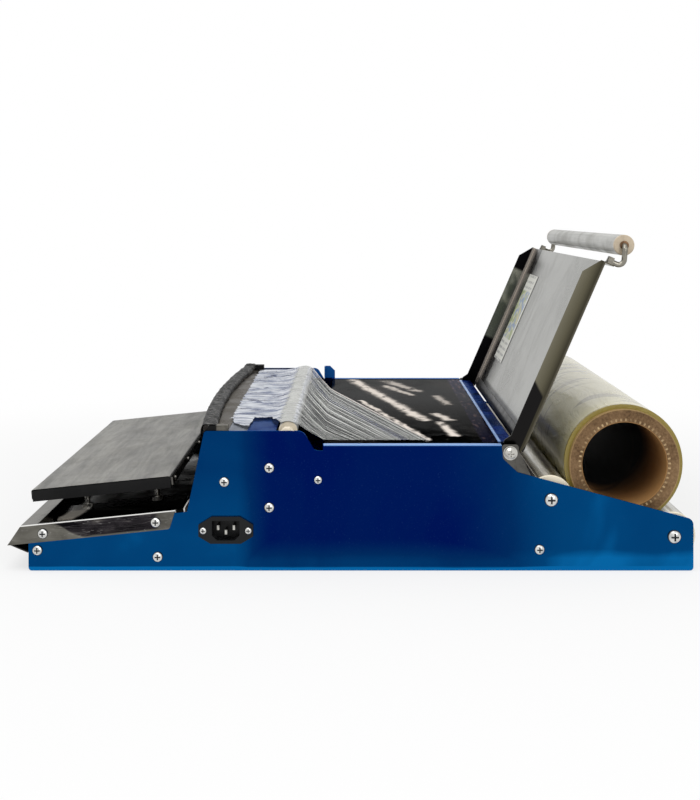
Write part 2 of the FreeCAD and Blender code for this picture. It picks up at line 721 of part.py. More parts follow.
def tower_rear_cover():
    """Painted sheet: the tower's top strip, folded down into its rear wall."""
    body = new_body("tower_rear_cover")
    section = sketch_on(body, "YZ")
    bent_sheet(section, [
        ("strip_front_back + gap", COVER_TOP),
        ("strip_rear_back", COVER_TOP),
        ("strip_rear_back", "strip_foot_up"),
    ], "inner_skin", -1)
    pad(body, section, "2 * %s" % INNER_HALF, both_ways=True)

    def flange(sketch):
        rear = "strip_rear_back - inner_skin"
        low = "strip_screw_low_up - strip_flange"
        high = "strip_screw_high_up + strip_flange / 2"
        return rectangle(sketch, rear + " - strip_flange", rear, low, high)

    both_sides(body, flange, "%s - inner_skin" % INNER_HALF, "inner_skin")
    drill(body, STRIP_SCREWS, "screw_hole")


def table_front_wall():
    """Wall under the table's front edge, narrow above its shoulder for the lid's flanges."""
    body = new_body("table_front_wall")
    wall = sketch_on(body, "YZ")
    top = "table_up - bright_skin"
    rectangle(wall, "wall_back + bright_skin", "wall_back + bright_skin + inner_skin", "wall_foot_up", top)
    pad(body, wall, "2 * %s" % INNER_HALF, both_ways=True)
    for side in (-1, 1):
        notch = sketch_on(body, "YZ", "%d * (table_half_width - bright_skin)" % side)
        behind = "wall_back + 2 * inner_skin + 3"
        rectangle(notch, "wall_back - 2", behind, "wall_shoulder_up", "table_up + 2")
        pocket(body, notch, "width", backwards=side > 0)

    def flange(sketch):
        front = "wall_screw_back - screw_head"
        low = "wall_screw_up - flange_length / 2"
        return rectangle(sketch, front, "wall_back + bright_skin", low, "wall_shoulder_up")

    both_sides(body, flange, "%s - inner_skin" % INNER_HALF, "inner_skin")
    drill(body, WALL_SCREWS, "screw_hole")


def table_top():
    """Polished table: a sheet with its four edges turned down."""
    body = new_body("table_top")
    block = sketch_on(body, "XY", "table_up - table_skirt")
    rectangle(block, "-table_half_width", "table_half_width", "table_start_back", "table_end_back")
    pad(body, block, "table_skirt")
    hollow = sketch_on(body, "XY", "table_up - table_skirt")
    reach = "(table_half_width - bright_skin)"
    rectangle(hollow, "-" + reach, reach, "table_start_back + bright_skin", "table_end_back - bright_skin")
    pocket(body, hollow, "table_skirt - bright_skin", backwards=True)


def rear_cross_panel():
    """Painted wall behind the table, with a top flange and side flanges at the base."""
    body = new_body("rear_cross_panel")
    section = sketch_on(body, "YZ")
    bent_sheet(section, [
        ("cross_back - cross_flange", "table_up"),
        ("cross_back", "table_up"),
        ("cross_back", "inner_skin"),
    ], "inner_skin", -1)
    pad(body, section, "2 * (%s - inner_skin)" % INNER_HALF, both_ways=True)
    for side in (-1, 1):
        notch = sketch_on(body, "YZ", "%d * cross_half_width" % side)
        ahead = "cross_back - 2 * cross_flange"
        rectangle(notch, ahead, "cross_back + 2", "bracket_foot_up - gap", "table_up + 2")
        pocket(body, notch, "width", backwards=side > 0)

    def flange(sketch):
        behind = "cross_back + cross_foot_flange"
        return rectangle(sketch, "cross_back", behind, "2 * inner_skin", "base_side + 6")

    both_sides(body, flange, "%s - 2 * inner_skin" % INNER_HALF, "inner_skin")
    drill(body, BASE_SCREWS[2:], "screw_hole")


# Front tray

def front_tray():
    """Polished tray: nose, front band and well in one section, with flanges outside the panels."""
    body = new_body("front_tray", DECK)
    section = sketch_on(body, "YZ")
    bent_sheet(section, [
        ("nose_return", "-nose_depth"),
        ("-nose_reach", "-tray_flange"),
        ("0", "0"),
        ("rim_band", "0"),
        ("rim_band", "bright_skin - well_depth"),
        ("well_length", "bright_skin - well_depth"),
        ("well_length", "0"),
    ], "bright_skin", -1)
    pad(body, section, "2 * (%s - bright_skin)" % INNER_HALF, both_ways=True)

    def rim(sketch):
        return rectangle(sketch, "0", "tray_length", "-bright_skin", "0")

    def inner_wall(sketch):
        return rectangle(sketch, "rim_band - bright_skin", "tray_length", "-well_depth", "0")

    def flange(sketch):
        return outline(sketch, [
            ("0", "0"),
            ("-nose_reach", "-tray_flange"),
            ("tray_flange_foot", "-tray_flange"),
            ("tray_length", "0"),
        ])

    both_sides(body, inner_wall, "%s - bright_skin" % INNER_HALF, "bright_skin")
    both_sides(body, rim, "%s - bright_skin" % INNER_HALF, "panel_skin + 2 * bright_skin")
    both_sides(body, flange, "width / 2", "bright_skin")
    dress_edges(body, "Fillet", [("tray_flange_foot", "-tray_flange")], "small_round")
    drill(body, [deck_place(back, up) for back, up in TRAY_SCREWS], "screw_hole")


def deck_place(back, up):
    """A point of the machine in the deck's own axes."""
    run = "(%s - deck_back)" % back
    rise = "(%s - deck_up)" % up
    along = "%s * cos(deck_tilt * 1 deg) + %s * sin(deck_tilt * 1 deg)" % (run, rise)
    above = "%s * cos(deck_tilt * 1 deg) - %s * sin(deck_tilt * 1 deg)" % (rise, run)
    return along, above


# Hot plate, built up from its bottom cover

PLATE_REAR = "(plate_start + plate_depth)"
HEATER_TOP = "(plate_rise - cloth - plate_thick)"
PAN_TOP = "(%s - heater_thick)" % HEATER_TOP
PAN_FOOT = "(%s - plate_pan_thick)" % PAN_TOP
FLOOR_TOP = "(bright_skin - well_depth)"
STUDS = [(side, along) for side in (-1, 1) for along in ("stud_front", "stud_rear")]
STUD_ACROSS = "(plate_width / 2 - stud_inset_across)"


def flat_plate(label, low, thickness, margin="0"):
    body = new_body(label, DECK)
    sketch = sketch_on(body, "XY", low)
    half = "(plate_width / 2 - %s)" % margin
    rectangle(sketch, "-" + half, half, "plate_start + " + margin, PLATE_REAR + " - " + margin)
    pad(body, sketch, thickness)
    return body


def hot_plate():
    """Metal plate whose upper front and rear edges are rounded for the cloth."""
    body = flat_plate("hot_plate", HEATER_TOP, "plate_thick")
    top = "plate_rise - cloth"
    dress_edges(body, "Fillet", [("plate_start", top), (PLATE_REAR, top)], "1")


def plate_heater():
    flat_plate("plate_heater", PAN_TOP, "heater_thick", "3")


def plate_bottom_cover():
    """Shallow pan under the heater, whose sides meet the hot plate."""
    body = flat_plate("plate_bottom_cover", PAN_FOOT, "heater_thick + plate_pan_thick")
    hollow = sketch_on(body, "XY", HEATER_TOP)
    half = "(plate_width / 2 - 2)"
    rectangle(hollow, "-" + half, half, "plate_start + 2", PLATE_REAR + " - 2")
    pocket(body, hollow, "heater_thick")


def hot_plate_cover():
    """Black cloth over the plate, turned down along its front and rear edges."""
    body = new_body("hot_plate_cover", DECK)
    section = sketch_on(body, "YZ")
    bent_sheet(section, [
        ("plate_start - cloth", "plate_rise - cloth_drop"),
        ("plate_start - cloth", "plate_rise"),
        (PLATE_REAR + " + cloth", "plate_rise"),
        (PLATE_REAR + " + cloth", "plate_rise - cloth_drop"),
    ], "cloth", -1)
    pad(body, section, "plate_width", both_ways=True)


def cloth_clamp():
    """Strip that clamps the cloth at the plate's rear edge, with its row of screw heads."""
    body = new_body("cloth_clamp", DECK)
    strip = sketch_on(body, "YZ")
    face = PLATE_REAR + " + cloth"
    high = "(plate_rise - 1.5)"
    rectangle(strip, face, face + " + clamp_thick", high + " - clamp_height", high)
    pad(body, strip, "plate_width - 6", both_ways=True)
    heads = sketch_on(body, "XZ", "-(%s + clamp_thick)" % face)
    for step in (-2, -1, 0, 1, 2):
        circle(heads, "%d * plate_width * 0.23" % step, high + " - clamp_height / 2", "5.5")
    pad(body, heads, "1.6", backwards=True)


def plate_studs():
    """Threaded studs from the plate's bottom cover down through the rails."""
    body = new_body("plate_studs", DECK)
    sketch = sketch_on(body, "XY", FLOOR_TOP + " + 1.5")
    for side, along in STUDS:
        circle(sketch, "%d * %s" % (side, STUD_ACROSS), along, "stud_diameter")
    pad(body, sketch, "%s - (%s + 1.5)" % (PAN_FOOT, FLOOR_TOP))


def hexagon(sketch, x, y, across):
    """Nut outline with its flats towards the width."""
    radius = "(%s / sqrt(3))" % across
    corners = []
    for angle in range(0, 360, 60):
        along = "%s + %s * cos(%d deg)" % (x, radius, angle)
        beside = "%s + %s * sin(%d deg)" % (y, radius, angle)
        corners.append((along, beside))
    return outline(sketch, corners)


def plate_stud_nuts():
    """A nut on each rail and a lock nut under the plate, on every stud."""
    body = new_body("plate_stud_nuts", DECK)
    rail_top = FLOOR_TOP + " + rail_height"
    for low in (rail_top, "%s - nut_thick" % PAN_FOOT):
        nuts = sketch_on(body, "XY", low)
        for side, along in STUDS:
            hexagon(nuts, "%d * %s" % (side, STUD_ACROSS), along, "nut_across")
            circle(nuts, "%d * %s" % (side, STUD_ACROSS), along, "stud_diameter")
        pad(body, nuts, "nut_thick")


def plate_rails():
    """Two hat section rails on the well floor, each carrying one row of studs."""
    body = new_body("plate_rails", DECK)
    for side in (-1, 1):
        middle = "%d * %s" % (side, STUD_ACROSS)
        section = sketch_on(body, "XZ", "-(rim_band + 2)")
        low = FLOOR_TOP
        high = FLOOR_TOP + " + rail_height"
        bent_sheet(section, [
            (middle + " - rail_width / 2 - rail_foot", low + " + bright_skin"),
            (middle + " - rail_width / 2", low + " + bright_skin"),
            (middle + " - rail_width / 2", high),
            (middle + " + rail_width / 2", high),
            (middle + " + rail_width / 2", low + " + bright_skin"),
            (middle + " + rail_width / 2 + rail_foot", low + " + bright_skin"),
        ], "bright_skin", -1)
        pad(body, section, "tray_length - rim_band - 4", backwards=True)
    holes = sketch_on(body, "XY", FLOOR_TOP + " + rail_height")
    for side, along in STUDS:
        circle(holes, "%d * %s" % (side, STUD_ACROSS), along, "stud_diameter + 2 * slip")
    pocket(body, holes, "2 * bright_skin")


# Cutter

CUTTER_RADIUS = "((cutter_half_length ^ 2 + cutter_bow ^ 2) / (2 * cutter_bow))"


def bowed(body, corners):
    """Turns a section about the bow's centre far behind the tower, over the cutter's length."""
    sketch = sketch_on(body, "YZ")
    outline(sketch, corners)
    centre = value(BOW_CENTRE)
    axis = sketch.addGeometry(Part.LineSegment(Vector(centre, 0, 0), Vector(centre, 10, 0)), True)
    pin_point(sketch, axis, 1, (BOW_CENTRE, "0"))
    pin_point(sketch, axis, 2, (BOW_CENTRE, "10"))
    feature = body.newObject("PartDesign::Revolution", body.Label + "_bow")
    feature.Profile = sketch
    feature.ReferenceAxis = (sketch, ["Axis0"])
    feature.Midplane = True
    feature.setExpression("Angle", bound("2 * asin(cutter_half_length / %s)" % CUTTER_RADIUS))
    return feature


BOW_CENTRE = "(cutter_front_back + %s)" % CUTTER_RADIUS
CUTTER_REAR = "(cutter_front_back + cutter_depth)"
CUTTER_TOP = "(%s + cutter_height)" % COVER_TOP
GROOVE_MIDDLE = "(cutter_front_back + cutter_depth * 0.4)"


def cutter_bar():
    """Flat bar with rounded upper edges and a groove for the wire."""
    body = new_body("cutter_bar")
    bowed(body, [
        ("cutter_front_back", COVER_TOP),
        ("cutter_front_back", CUTTER_TOP + " - 1.5"),
        ("cutter_front_back + 1.5", CUTTER_TOP),
        (GROOVE_MIDDLE + " - cutter_groove / 2", CUTTER_TOP),
        (GROOVE_MIDDLE + " - cutter_groove / 2", CUTTER_TOP + " - cutter_groove"),
        (GROOVE_MIDDLE + " + cutter_groove / 2", CUTTER_TOP + " - cutter_groove"),
        (GROOVE_MIDDLE + " + cutter_groove / 2", CUTTER_TOP),
        (CUTTER_REAR + " - 1.5", CUTTER_TOP),
        (CUTTER_REAR, CUTTER_TOP + " - 1.5"),
        (CUTTER_REAR, COVER_TOP),
    ])


def cutter_wire():
    """Flat heating wire in the bar's groove."""
    body = new_body("cutter_wire")
    low = "(%s - cutter_groove)" % CUTTER_TOP
    bowed(body, [
        (GROOVE_MIDDLE + " - cutter_wire / 2", low),
        (GROOVE_MIDDLE + " + cutter_wire / 2", low),
        (GROOVE_MIDDLE + " + cutter_wire / 2", low + " + cutter_wire"),
        (GROOVE_MIDDLE + " - cutter_wire / 2", low + " + cutter_wire"),
    ])


def cutter_sleeve():
    """Cloth tape over the bar, hanging down before it."""
    body = new_body("cutter_sleeve")
    front = "cutter_front_back - sleeve_skin"
    bowed(body, [
        (front, "%s - sleeve_drop" % COVER_TOP),
        (front, CUTTER_TOP + " - 1.5"),
        (front + " + 1.5", CUTTER_TOP + " + sleeve_skin"),
        (CUTTER_REAR + " - 0.9", CUTTER_TOP + " + sleeve_skin"),
        (CUTTER_REAR + " + sleeve_skin", CUTTER_TOP + " - 1.5"),
        (CUTTER_REAR + " + sleeve_skin", COVER_TOP),
        (CUTTER_REAR, COVER_TOP),
        (CUTTER_REAR, CUTTER_TOP + " - 1.5"),
        (CUTTER_REAR + " - 1.5", CUTTER_TOP),
        ("cutter_front_back + 1.5", CUTTER_TOP),
        ("cutter_front_back", CUTTER_TOP + " - 1.5"),
        ("cutter_front_back", "%s - sleeve_drop" % COVER_TOP),
    ])


def cutter_end_blocks():
    """Insulating block at each end of the bar, on the front cover's top."""
    body = new_body("cutter_end_blocks")

    def block(sketch):
        front = cover_line(COVER_TOP)
        rear = "(%s) + end_block_depth" % front
        high = COVER_TOP + " + end_block_height"
        corners = [(front, COVER_TOP), (rear, COVER_TOP), (rear, high), (front + " + 3", high)]
        return outline(sketch, corners)

    length = "%s - cutter_half_length - gap" % INNER_HALF
    both_sides(body, block, "cutter_half_length + gap", length)


# Rollers

def roller_tube(label, frame, edge, bore, half):
    """Tube about the frame's width axis: radii of its outside and its bore, and half its length."""
    far = "-(%s)" % half
    turn(new_body(label, frame), [(far, bore), (half, bore), (half, edge), (far, edge)])


def roller_caps(label, frame, rim, plug, hole, half):
    """End cap at each end: a rim over the tube's end and a plug inside it."""
    body = new_body(label, frame)
    profiles = []
    for side in (-1, 1):
        end = "%d * (%s)" % (side, half)
        seat = "%d * ((%s) - cap_rim)" % (side, half)
        foot = "%d * ((%s) - cap_rim - cap_plug)" % (side, half)
        bevel = "%d * ((%s) - 0.6)" % (side, half)
        profiles.append([
            (end, hole),
            (end, rim + " - 0.6"),
            (bevel, rim),
            (seat, rim),
            (seat, plug),
            (foot, plug),
            (foot, hole),
        ])
    turn(body, *profiles)


FRONT_ROLLER = at("front_roller_back", "front_roller_up")
LID_ROLLER = on_lid("lid_roller_along", "lid_roller_behind")


def front_roller():
    half = "front_roller_length / 2"
    bore = "front_roller_bore / 2"
    edge = "front_roller_diameter / 2"
    roller_tube("front_roller_tube", FRONT_ROLLER, edge, bore, half + " - cap_rim")
    roller_caps("front_roller_caps", FRONT_ROLLER, edge, bore, "front_axle_diameter / 2 + slip", half)
    axle = new_body("front_roller_axle", FRONT_ROLLER)
    reach = "(%s - gap)" % INNER_HALF
    radius = "front_axle_diameter / 2"
    turn(axle, [("-" + reach, "0"), (reach, "0"), (reach, radius), ("-" + reach, radius)])


def front_roller_bearings():
    """Block on each panel's inner face that holds the axle's end."""
    body = new_body("front_roller_bearings")

    def block(sketch):
        front = "front_roller_back - front_bearing_width / 2"
        rear = "front_roller_back + front_bearing_width / 2"
        high = "front_roller_up + front_axle_diameter"
        outline(sketch, [
            (front, "front_bearing_foot_up"),
            (rear, "front_bearing_foot_up"),
            (rear, "(%s) - 4" % high),
            ("(%s) - 4" % rear, high),
            ("(%s) + 4" % front, high),
            (front, "(%s) - 4" % high),
        ])
        return circle(sketch, "front_roller_back", "front_roller_up", "front_axle_diameter + 2 * slip")

    both_sides(body, block, "%s - front_bearing_thick" % INNER_HALF, "front_bearing_thick")


def lid_roller():
    half = "lid_roller_length / 2"
    bore = "lid_roller_bore / 2"
    edge = "lid_roller_diameter / 2"
    roller_tube("lid_roller_tube", LID_ROLLER, edge, bore, half + " - cap_rim")
    roller_caps("lid_roller_caps", LID_ROLLER, edge, bore, "bail_wire / 2 + slip", half)


def rear_roller(name):
    """Steel tube on two plastic caps, which turn on a fixed axle between the panels."""
    frame = at(*REAR_ROLLERS[name])
    half = "(%s - rear_roller_side_gap)" % INNER_HALF
    edge = "rear_roller_diameter / 2"
    bore = edge + " - rear_roller_wall"
    rim = "rear_cap_diameter / 2"
    radius = "rear_axle_diameter / 2"
    roller_tube("rear_roller_%s_tube" % name, frame, edge, bore, half + " - cap_rim")
    roller_caps("rear_roller_%s_caps" % name, frame, rim, bore, radius + " + slip", half)
    axle = new_body("rear_roller_%s_axle" % name, frame)
    hole = "(end_screw / 2 + slip)"
    depth = "(%s - end_screw_length)" % INNER_HALF
    end = INNER_HALF
    turn(axle, [
        ("-" + end, hole),
        ("-" + end, radius),
        (end, radius),
        (end, hole),
        (depth, hole),
        (depth, "0"),
        ("-" + depth, "0"),
        ("-" + depth, hole),
    ])


# Film roll, which lies on the caps of both rear rollers

def roll_place():
    """Formulas of the roll's axis: at one distance from both rear rollers' axes, above them."""
    run = "(rear_roller_b_back - rear_roller_a_back)"
    rise = "(rear_roller_b_up - rear_roller_a_up)"
    apart = "sqrt(%s ^ 2 + %s ^ 2)" % (run, rise)
    reach = "(film_diameter / 2 + rear_roller_diameter / 2 + roll_gap)"
    lift = "sqrt(%s ^ 2 - (%s / 2) ^ 2)" % (reach, apart)
    back = "(rear_roller_a_back + rear_roller_b_back) / 2 - %s / %s * %s" % (rise, apart, lift)
    up = "(rear_roller_a_up + rear_roller_b_up) / 2 + %s / %s * %s" % (run, apart, lift)
    return "(%s)" % back, "(%s)" % up


def film_roll():
    """Cardboard core and the film wound on it: two tubes, one in the other."""
    frame = at(*roll_place())
    roller_tube("film_core", frame, "core_diameter / 2", "core_bore / 2", "core_length / 2")
    roller_tube("film_winding", frame, "film_diameter / 2", "core_diameter / 2", "film_length / 2")


# Lid

def lid_plate():
    """Channel: web with two chamfered flanges, a lip turned back at the top and ears at the hinge."""
    body = new_body("lid_plate", LID)
    section = sketch_on(body, "YZ")
    bent_sheet(section, [
        ("lid_web_behind + lid_lip", "lid_length"),
        ("lid_web_behind - bright_skin", "lid_length"),
        ("lid_web_behind - bright_skin", "lid_web_start"),
    ], "bright_skin", 1)
    pad(body, section, "2 * lid_half_width", both_ways=True)

    def flange(sketch):
        return outline(sketch, [
            ("-lid_front_edge", "lid_chamfer_start"),
            ("lid_chamfer_end", "lid_length"),
            ("lid_web_behind", "lid_length"),
            ("lid_web_behind", "lid_ear * 1.6"),
            ("lid_ear", "-lid_ear"),
            ("-lid_ear", "-lid_ear"),
            ("-lid_ear", "lid_ear"),
            ("-lid_front_edge", "lid_ear * 1.8"),
        ])

    both_sides(body, flange, "lid_half_width - bright_skin", "bright_skin")
    dress_edges(body, "Fillet", [("-lid_ear", "-lid_ear"), ("lid_ear", "-lid_ear")], "4")
    dress_edges(body, "Fillet", [("lid_web_behind - bright_skin", "lid_length")], "1")
    drill(body, [("0", "0")], "hinge_bolt + 2 * slip")


def lid_sticker():
    """Bare sticker on the web's front face."""
    body = new_body("lid_sticker", LID)
    sketch = sketch_on(body, "XZ", "-(lid_web_behind - bright_skin)")
    rectangle(sketch, "-sticker_left", "-sticker_right", "sticker_low", "sticker_high")
    pad(body, sketch, "sticker_thick")


def hinge_brackets():
    """Plate on each panel's inner face that stands over its cut and holds the lid's bolt."""
    body = new_body("hinge_brackets")

    def plate(sketch):
        return outline(sketch, [
            ("hinge_back - lid_ear", "hinge_up + lid_ear"),
            ("hinge_back - lid_ear", "bracket_foot_up"),
            ("bracket_rear_back", "bracket_foot_up"),
            ("bracket_rear_back", "slope_up - 4"),
            ("hinge_back + lid_ear", "hinge_up + 2"),
            ("hinge_back + lid_ear", "hinge_up + lid_ear"),
        ])

    both_sides(body, plate, "%s - bracket_thick" % INNER_HALF, "bracket_thick")
    top = "hinge_up + lid_ear"
    dress_edges(body, "Fillet", [("hinge_back - lid_ear", top), ("hinge_back + lid_ear", top)], "small_round")
    drill(body, [("hinge_back", "hinge_up")], "hinge_bolt + 2 * slip")


HINGE = at("hinge_back", "hinge_up")
BRACKET_INNER = "(%s - bracket_thick)" % INNER_HALF


def hinge_spacers():
    """Bush on each bolt between the bracket and the lid's flange."""
    body = new_body("hinge_spacers", HINGE)
    profiles = []
    for side in (-1, 1):
        low = "%d * (lid_half_width + gap)" % side
        high = "%d * %s" % (side, BRACKET_INNER)
        hole = "hinge_bolt / 2 + slip"
        edge = "hinge_washer / 2 - 1"
        profiles.append([(low, hole), (high, hole), (high, edge), (low, edge)])
    turn(body, *profiles)


def hinge_bolts():
    """Bolt through each bracket, with a washer under its cross recessed head and a nut inside the flange."""
    body = new_body("hinge_bolts", HINGE)
    profiles = []
    face = INNER_HALF
    for side in (-1, 1):
        places = [
            ("lid_half_width - bright_skin - gap - 4", "0"),
            ("lid_half_width - bright_skin - gap - 4", "hinge_bolt_head / 2"),
            ("lid_half_width - bright_skin - gap", "hinge_bolt_head / 2"),
            ("lid_half_width - bright_skin - gap", "hinge_bolt / 2"),
            (face, "hinge_bolt / 2"),
            (face, "hinge_washer / 2"),
            (face + " + washer_thick", "hinge_washer / 2"),
            (face + " + washer_thick", "hinge_bolt_head / 2"),
            (face + " + washer_thick + 2.4", "hinge_bolt_head / 2"),
            (face + " + washer_thick + 4", "hinge_bolt_head / 2 - 2"),
            (face + " + washer_thick + 4", "0"),
        ]
        profiles.append([("%d * (%s)" % (side, across), radius) for across, radius in places])
    turn(body, *profiles)
    long = "(hinge_bolt_head * 0.28)"
    thin = "(hinge_bolt_head * 0.065)"
    for half_y, half_z in ((long, thin), (thin, long)):
        for side in (-1, 1):
            recess = sketch_on(body, "YZ", "%d * (%s + washer_thick + 4.1)" % (side, face))
            centred(recess, "0", "0", half_y, half_z)
            pocket(body, recess, "2.2", backwards=side < 0)


def lid_point(across, along, behind):
    """A point of the lid in the machine's frame, from values."""
    lean = math.radians(value("lid_lean"))
    y = value("hinge_back - origin_back") + along * math.cos(lean) + behind * math.sin(lean)
    z = value("hinge_up") + along * math.sin(lean) - behind * math.cos(lean)
    return Vector(across, y, z)


def lid_bail():
    """Wire that is the lid roller's axle and turns down at both ends to the lid's top lip."""
    side = value("bail_side")
    wire = value("bail_wire / 2")
    axis = (value("lid_roller_along"), value("lid_roller_behind"))
    knee = (value("lid_length") + wire, value("bail_knee_behind"))
    end = (value("lid_length") + wire, value("bail_end_behind"))
    corners = [lid_point(-side, *place) for place in (end, knee, axis)]
    corners += [lid_point(side, *place) for place in (axis, knee, end)]
    radius = value("bail_bend")
    edges = []
    start = corners[0]
    for before, corner, after in zip(corners, corners[1:], corners[2:]):
        arrive = (corner - before).normalize()
        leave = (after - corner).normalize()
        turn_angle = arrive.getAngle(leave)
        trim = radius * math.tan(turn_angle / 2)
        inward = (leave - arrive).normalize()
        middle = corner + inward * (radius / math.cos(turn_angle / 2) - radius)
        edges.append(Part.LineSegment(start, corner - arrive * trim).toShape())
        edges.append(Part.Arc(corner - arrive * trim, middle, corner + leave * trim).toShape())
        start = corner + leave * trim
    edges.append(Part.LineSegment(start, corners[-1]).toShape())
    spine = Part.Wire(edges)
    section = Part.Wire(Part.Circle(corners[0], (corners[1] - corners[0]), wire).toShape())
    add_feature("lid_bail", spine.makePipeShell([section], True, False))


def bail_clips():
    """Folded saddle on the lid's top lip over each end of the bail."""
    body = new_body("bail_clips", LID)
    for side in (-1, 1):
        sketch = sketch_on(body, "XZ", "-(lid_web_behind + clip_inset)")
        middle = "%d * bail_side" % side
        foot = "clip_width / 2"
        inner = "bail_wire / 2"
        outer = "(bail_wire / 2 + clip_wall)"
        low = "lid_length"
        top = "lid_length + bail_wire"
        outline(sketch, [
            (middle + " - " + foot, low),
            (middle + " - " + inner, low),
            (middle + " - " + inner, top),
            (middle + " + " + inner, top),
            (middle + " + " + inner, low),
            (middle + " + " + foot, low),
            (middle + " + " + foot, low + " + clip_wall"),
            (middle + " + " + outer, low + " + clip_wall"),
            (middle + " + " + outer, top + " + clip_wall"),
            (middle + " - " + outer, top + " + clip_wall"),
            (middle + " - " + outer, low + " + clip_wall"),
            (middle + " - " + foot, low + " + clip_wall"),
        ])
        pad(body, sketch, "clip_length", backwards=True)


# Loose film

def film_web():
    """Loose film: over the top strip and the front roller, down to the table, cut off at a slant.

    Its front corner on the operator's right is torn away, so the strip shows there.
    """
    body = new_body("film_web")
    section = sketch_on(body, "YZ")
    over = "(front_roller_up + front_roller_diameter / 2 + gap)"
    edge = "(front_roller_back + front_roller_diameter / 2 + gap)"
    bent_sheet(section, [
        ("web_front_back", COVER_TOP + " + gap"),
        ("front_roller_back - front_roller_diameter / 2 - 3", COVER_TOP + " + gap"),
        ("front_roller_back - 2.5", over),
        ("front_roller_back + 3.5", over),
        (edge, over + " - 4.5"),
        ("web_land_back", "table_up + gap"),
        ("web_near_end_back", "table_up + gap"),
    ], "web_thick", 1)
    pad(body, section, "2 * web_half_width", both_ways=True)
    cut = sketch_on(body, "XY", "table_up")
    outline(cut, [
        ("-web_half_width - 1", "web_far_end_back"),
        ("web_half_width + 1", "web_near_end_back"),
        ("web_half_width + 1", "web_near_end_back + 20"),
        ("-web_half_width - 1", "web_near_end_back + 20"),
    ])
    pocket(body, cut, "2 * table_skirt", backwards=True)
    corner = sketch_on(body, "XY", "table_up")
    edge = "web_half_width - web_torn_width"
    rectangle(corner, edge, "web_half_width + 1", "web_front_back - 1", "web_torn_back")
    pocket(body, corner, "2 * table_skirt", backwards=True)


# Power inlet

def power_inlet_body():
    """Plastic housing: flange outside the panel, and a recess that runs through it."""
    body = new_body("power_inlet_body")
    flange = sketch_on(body, "YZ", "width / 2")
    half = "inlet_flange_length / 2"
    tall = "inlet_flange_height / 2"
    outline(flange, [
        ("inlet_back - %s * 0.52" % half, "inlet_up + " + tall),
        ("inlet_back - " + half, "inlet_up + %s * 0.42" % tall),
        ("inlet_back - " + half, "inlet_up - %s * 0.42" % tall),
        ("inlet_back - %s * 0.56" % half, "inlet_up - %s * 0.95" % tall),
        ("inlet_back + %s * 0.56" % half, "inlet_up - %s * 0.95" % tall),
        ("inlet_back + " + half, "inlet_up - %s * 0.42" % tall),
        ("inlet_back + " + half, "inlet_up + %s * 0.42" % tall),
        ("inlet_back + %s * 0.52" % half, "inlet_up + " + tall),
    ])
    pad(body, flange, "inlet_flange_thick")
    housing = sketch_on(body, "YZ", "width / 2")
    long = "(inlet_mouth_length / 2 + inlet_wall)"
    high = "(inlet_mouth_height / 2 + inlet_wall)"
    centred(housing, "inlet_back", "inlet_up", long, high)
    pad(body, housing, "inlet_depth", backwards=True)
    recess = sketch_on(body, "YZ", "width / 2 + inlet_flange_thick")
    reach = "inlet_mouth_length / 2"
    rise = "inlet_mouth_height / 2"
    outline(recess, [
        ("inlet_back - " + reach, "inlet_up + " + rise),
        ("inlet_back - " + reach, "inlet_up - %s + inlet_mouth_cut" % rise),
        ("inlet_back - %s + inlet_mouth_cut" % reach, "inlet_up - " + rise),
        ("inlet_back + %s - inlet_mouth_cut" % reach, "inlet_up - " + rise),
        ("inlet_back + " + reach, "inlet_up - %s + inlet_mouth_cut" % rise),
        ("inlet_back + " + reach, "inlet_up + " + rise),
    ])
    pocket(body, recess, "inlet_recess")
    drill(body, INLET_SCREWS, "inlet_screw_hole")
    slots = sketch_on(body, "YZ")
    for pin in INLET_PINS:
        pin_outline(slots, pin)
    pocket(body, slots)


INLET_PINS = [
    ("inlet_back - pin_pitch / 2", "inlet_up + pin_drop / 2"),
    ("inlet_back", "inlet_up - pin_drop / 2"),
    ("inlet_back + pin_pitch / 2", "inlet_up + pin_drop / 2"),
]


def pin_outline(sketch, pin):
    return centred(sketch, pin[0], pin[1], "pin_thick / 2", "pin_height / 2")


def power_inlet_pins():
    """Three flat pins through the recess floor, with their tabs behind it."""
    body = new_body("power_inlet_pins")
    floor = "(width / 2 + inlet_flange_thick - inlet_recess)"
    rear = "(inlet_depth + inlet_flange_thick - inlet_recess)"
    for pin in INLET_PINS:
        sketch = pin_outline(sketch_on(body, "YZ", floor + " + pin_length"), pin)
        pad(body, sketch, "pin_length + %s + 7" % rear, backwards=True)


# Screws

def pan_screw(head, height, shank, length):
    """Pan head screw along +X: its seat at 0, its head outwards, with a cross recess."""
    foot = Vector(-length, 0, 0)
    seat = Vector(0, head / 2, 0)
    rim = Vector(height * 0.35, head / 2, 0)
    crown = Vector(height, 0, 0)
    straight = [foot, Vector(-length, shank / 2, 0), Vector(0, shank / 2, 0), seat, rim]
    edges = [Part.LineSegment(start, end).toShape() for start, end in zip(straight, straight[1:])]
    edges.append(Part.Arc(rim, Vector(height * 0.82, head * 0.34, 0), crown).toShape())
    edges.append(Part.LineSegment(crown, foot).toShape())
    solid = Part.Face(Part.Wire(edges)).revolve(Vector(), Vector(1, 0, 0), 360)
    blade = head * 0.56
    width = head * 0.13
    for across, tall in ((blade, width), (width, blade)):
        slot = Part.makeBox(height, across, tall, Vector(height * 0.45, -across / 2, -tall / 2))
        solid = solid.cut(slot)
    return solid


def screw_group(label, prototype, places, across, sides=(1, -1)):
    """Identical screws at the given places, on each side of the machine."""
    shapes = []
    for back, up in places:
        for side in sides:
            seat = Placement(
                Vector(side * value(across), value("%s - origin_back" % back), value(up)),
                Rotation(Vector(0, 0, 1), 0 if side > 0 else 180),
            )
            copy = prototype.copy()
            copy.Placement = seat
            shapes.append(copy)
    add_feature(label, Part.makeCompound(shapes))


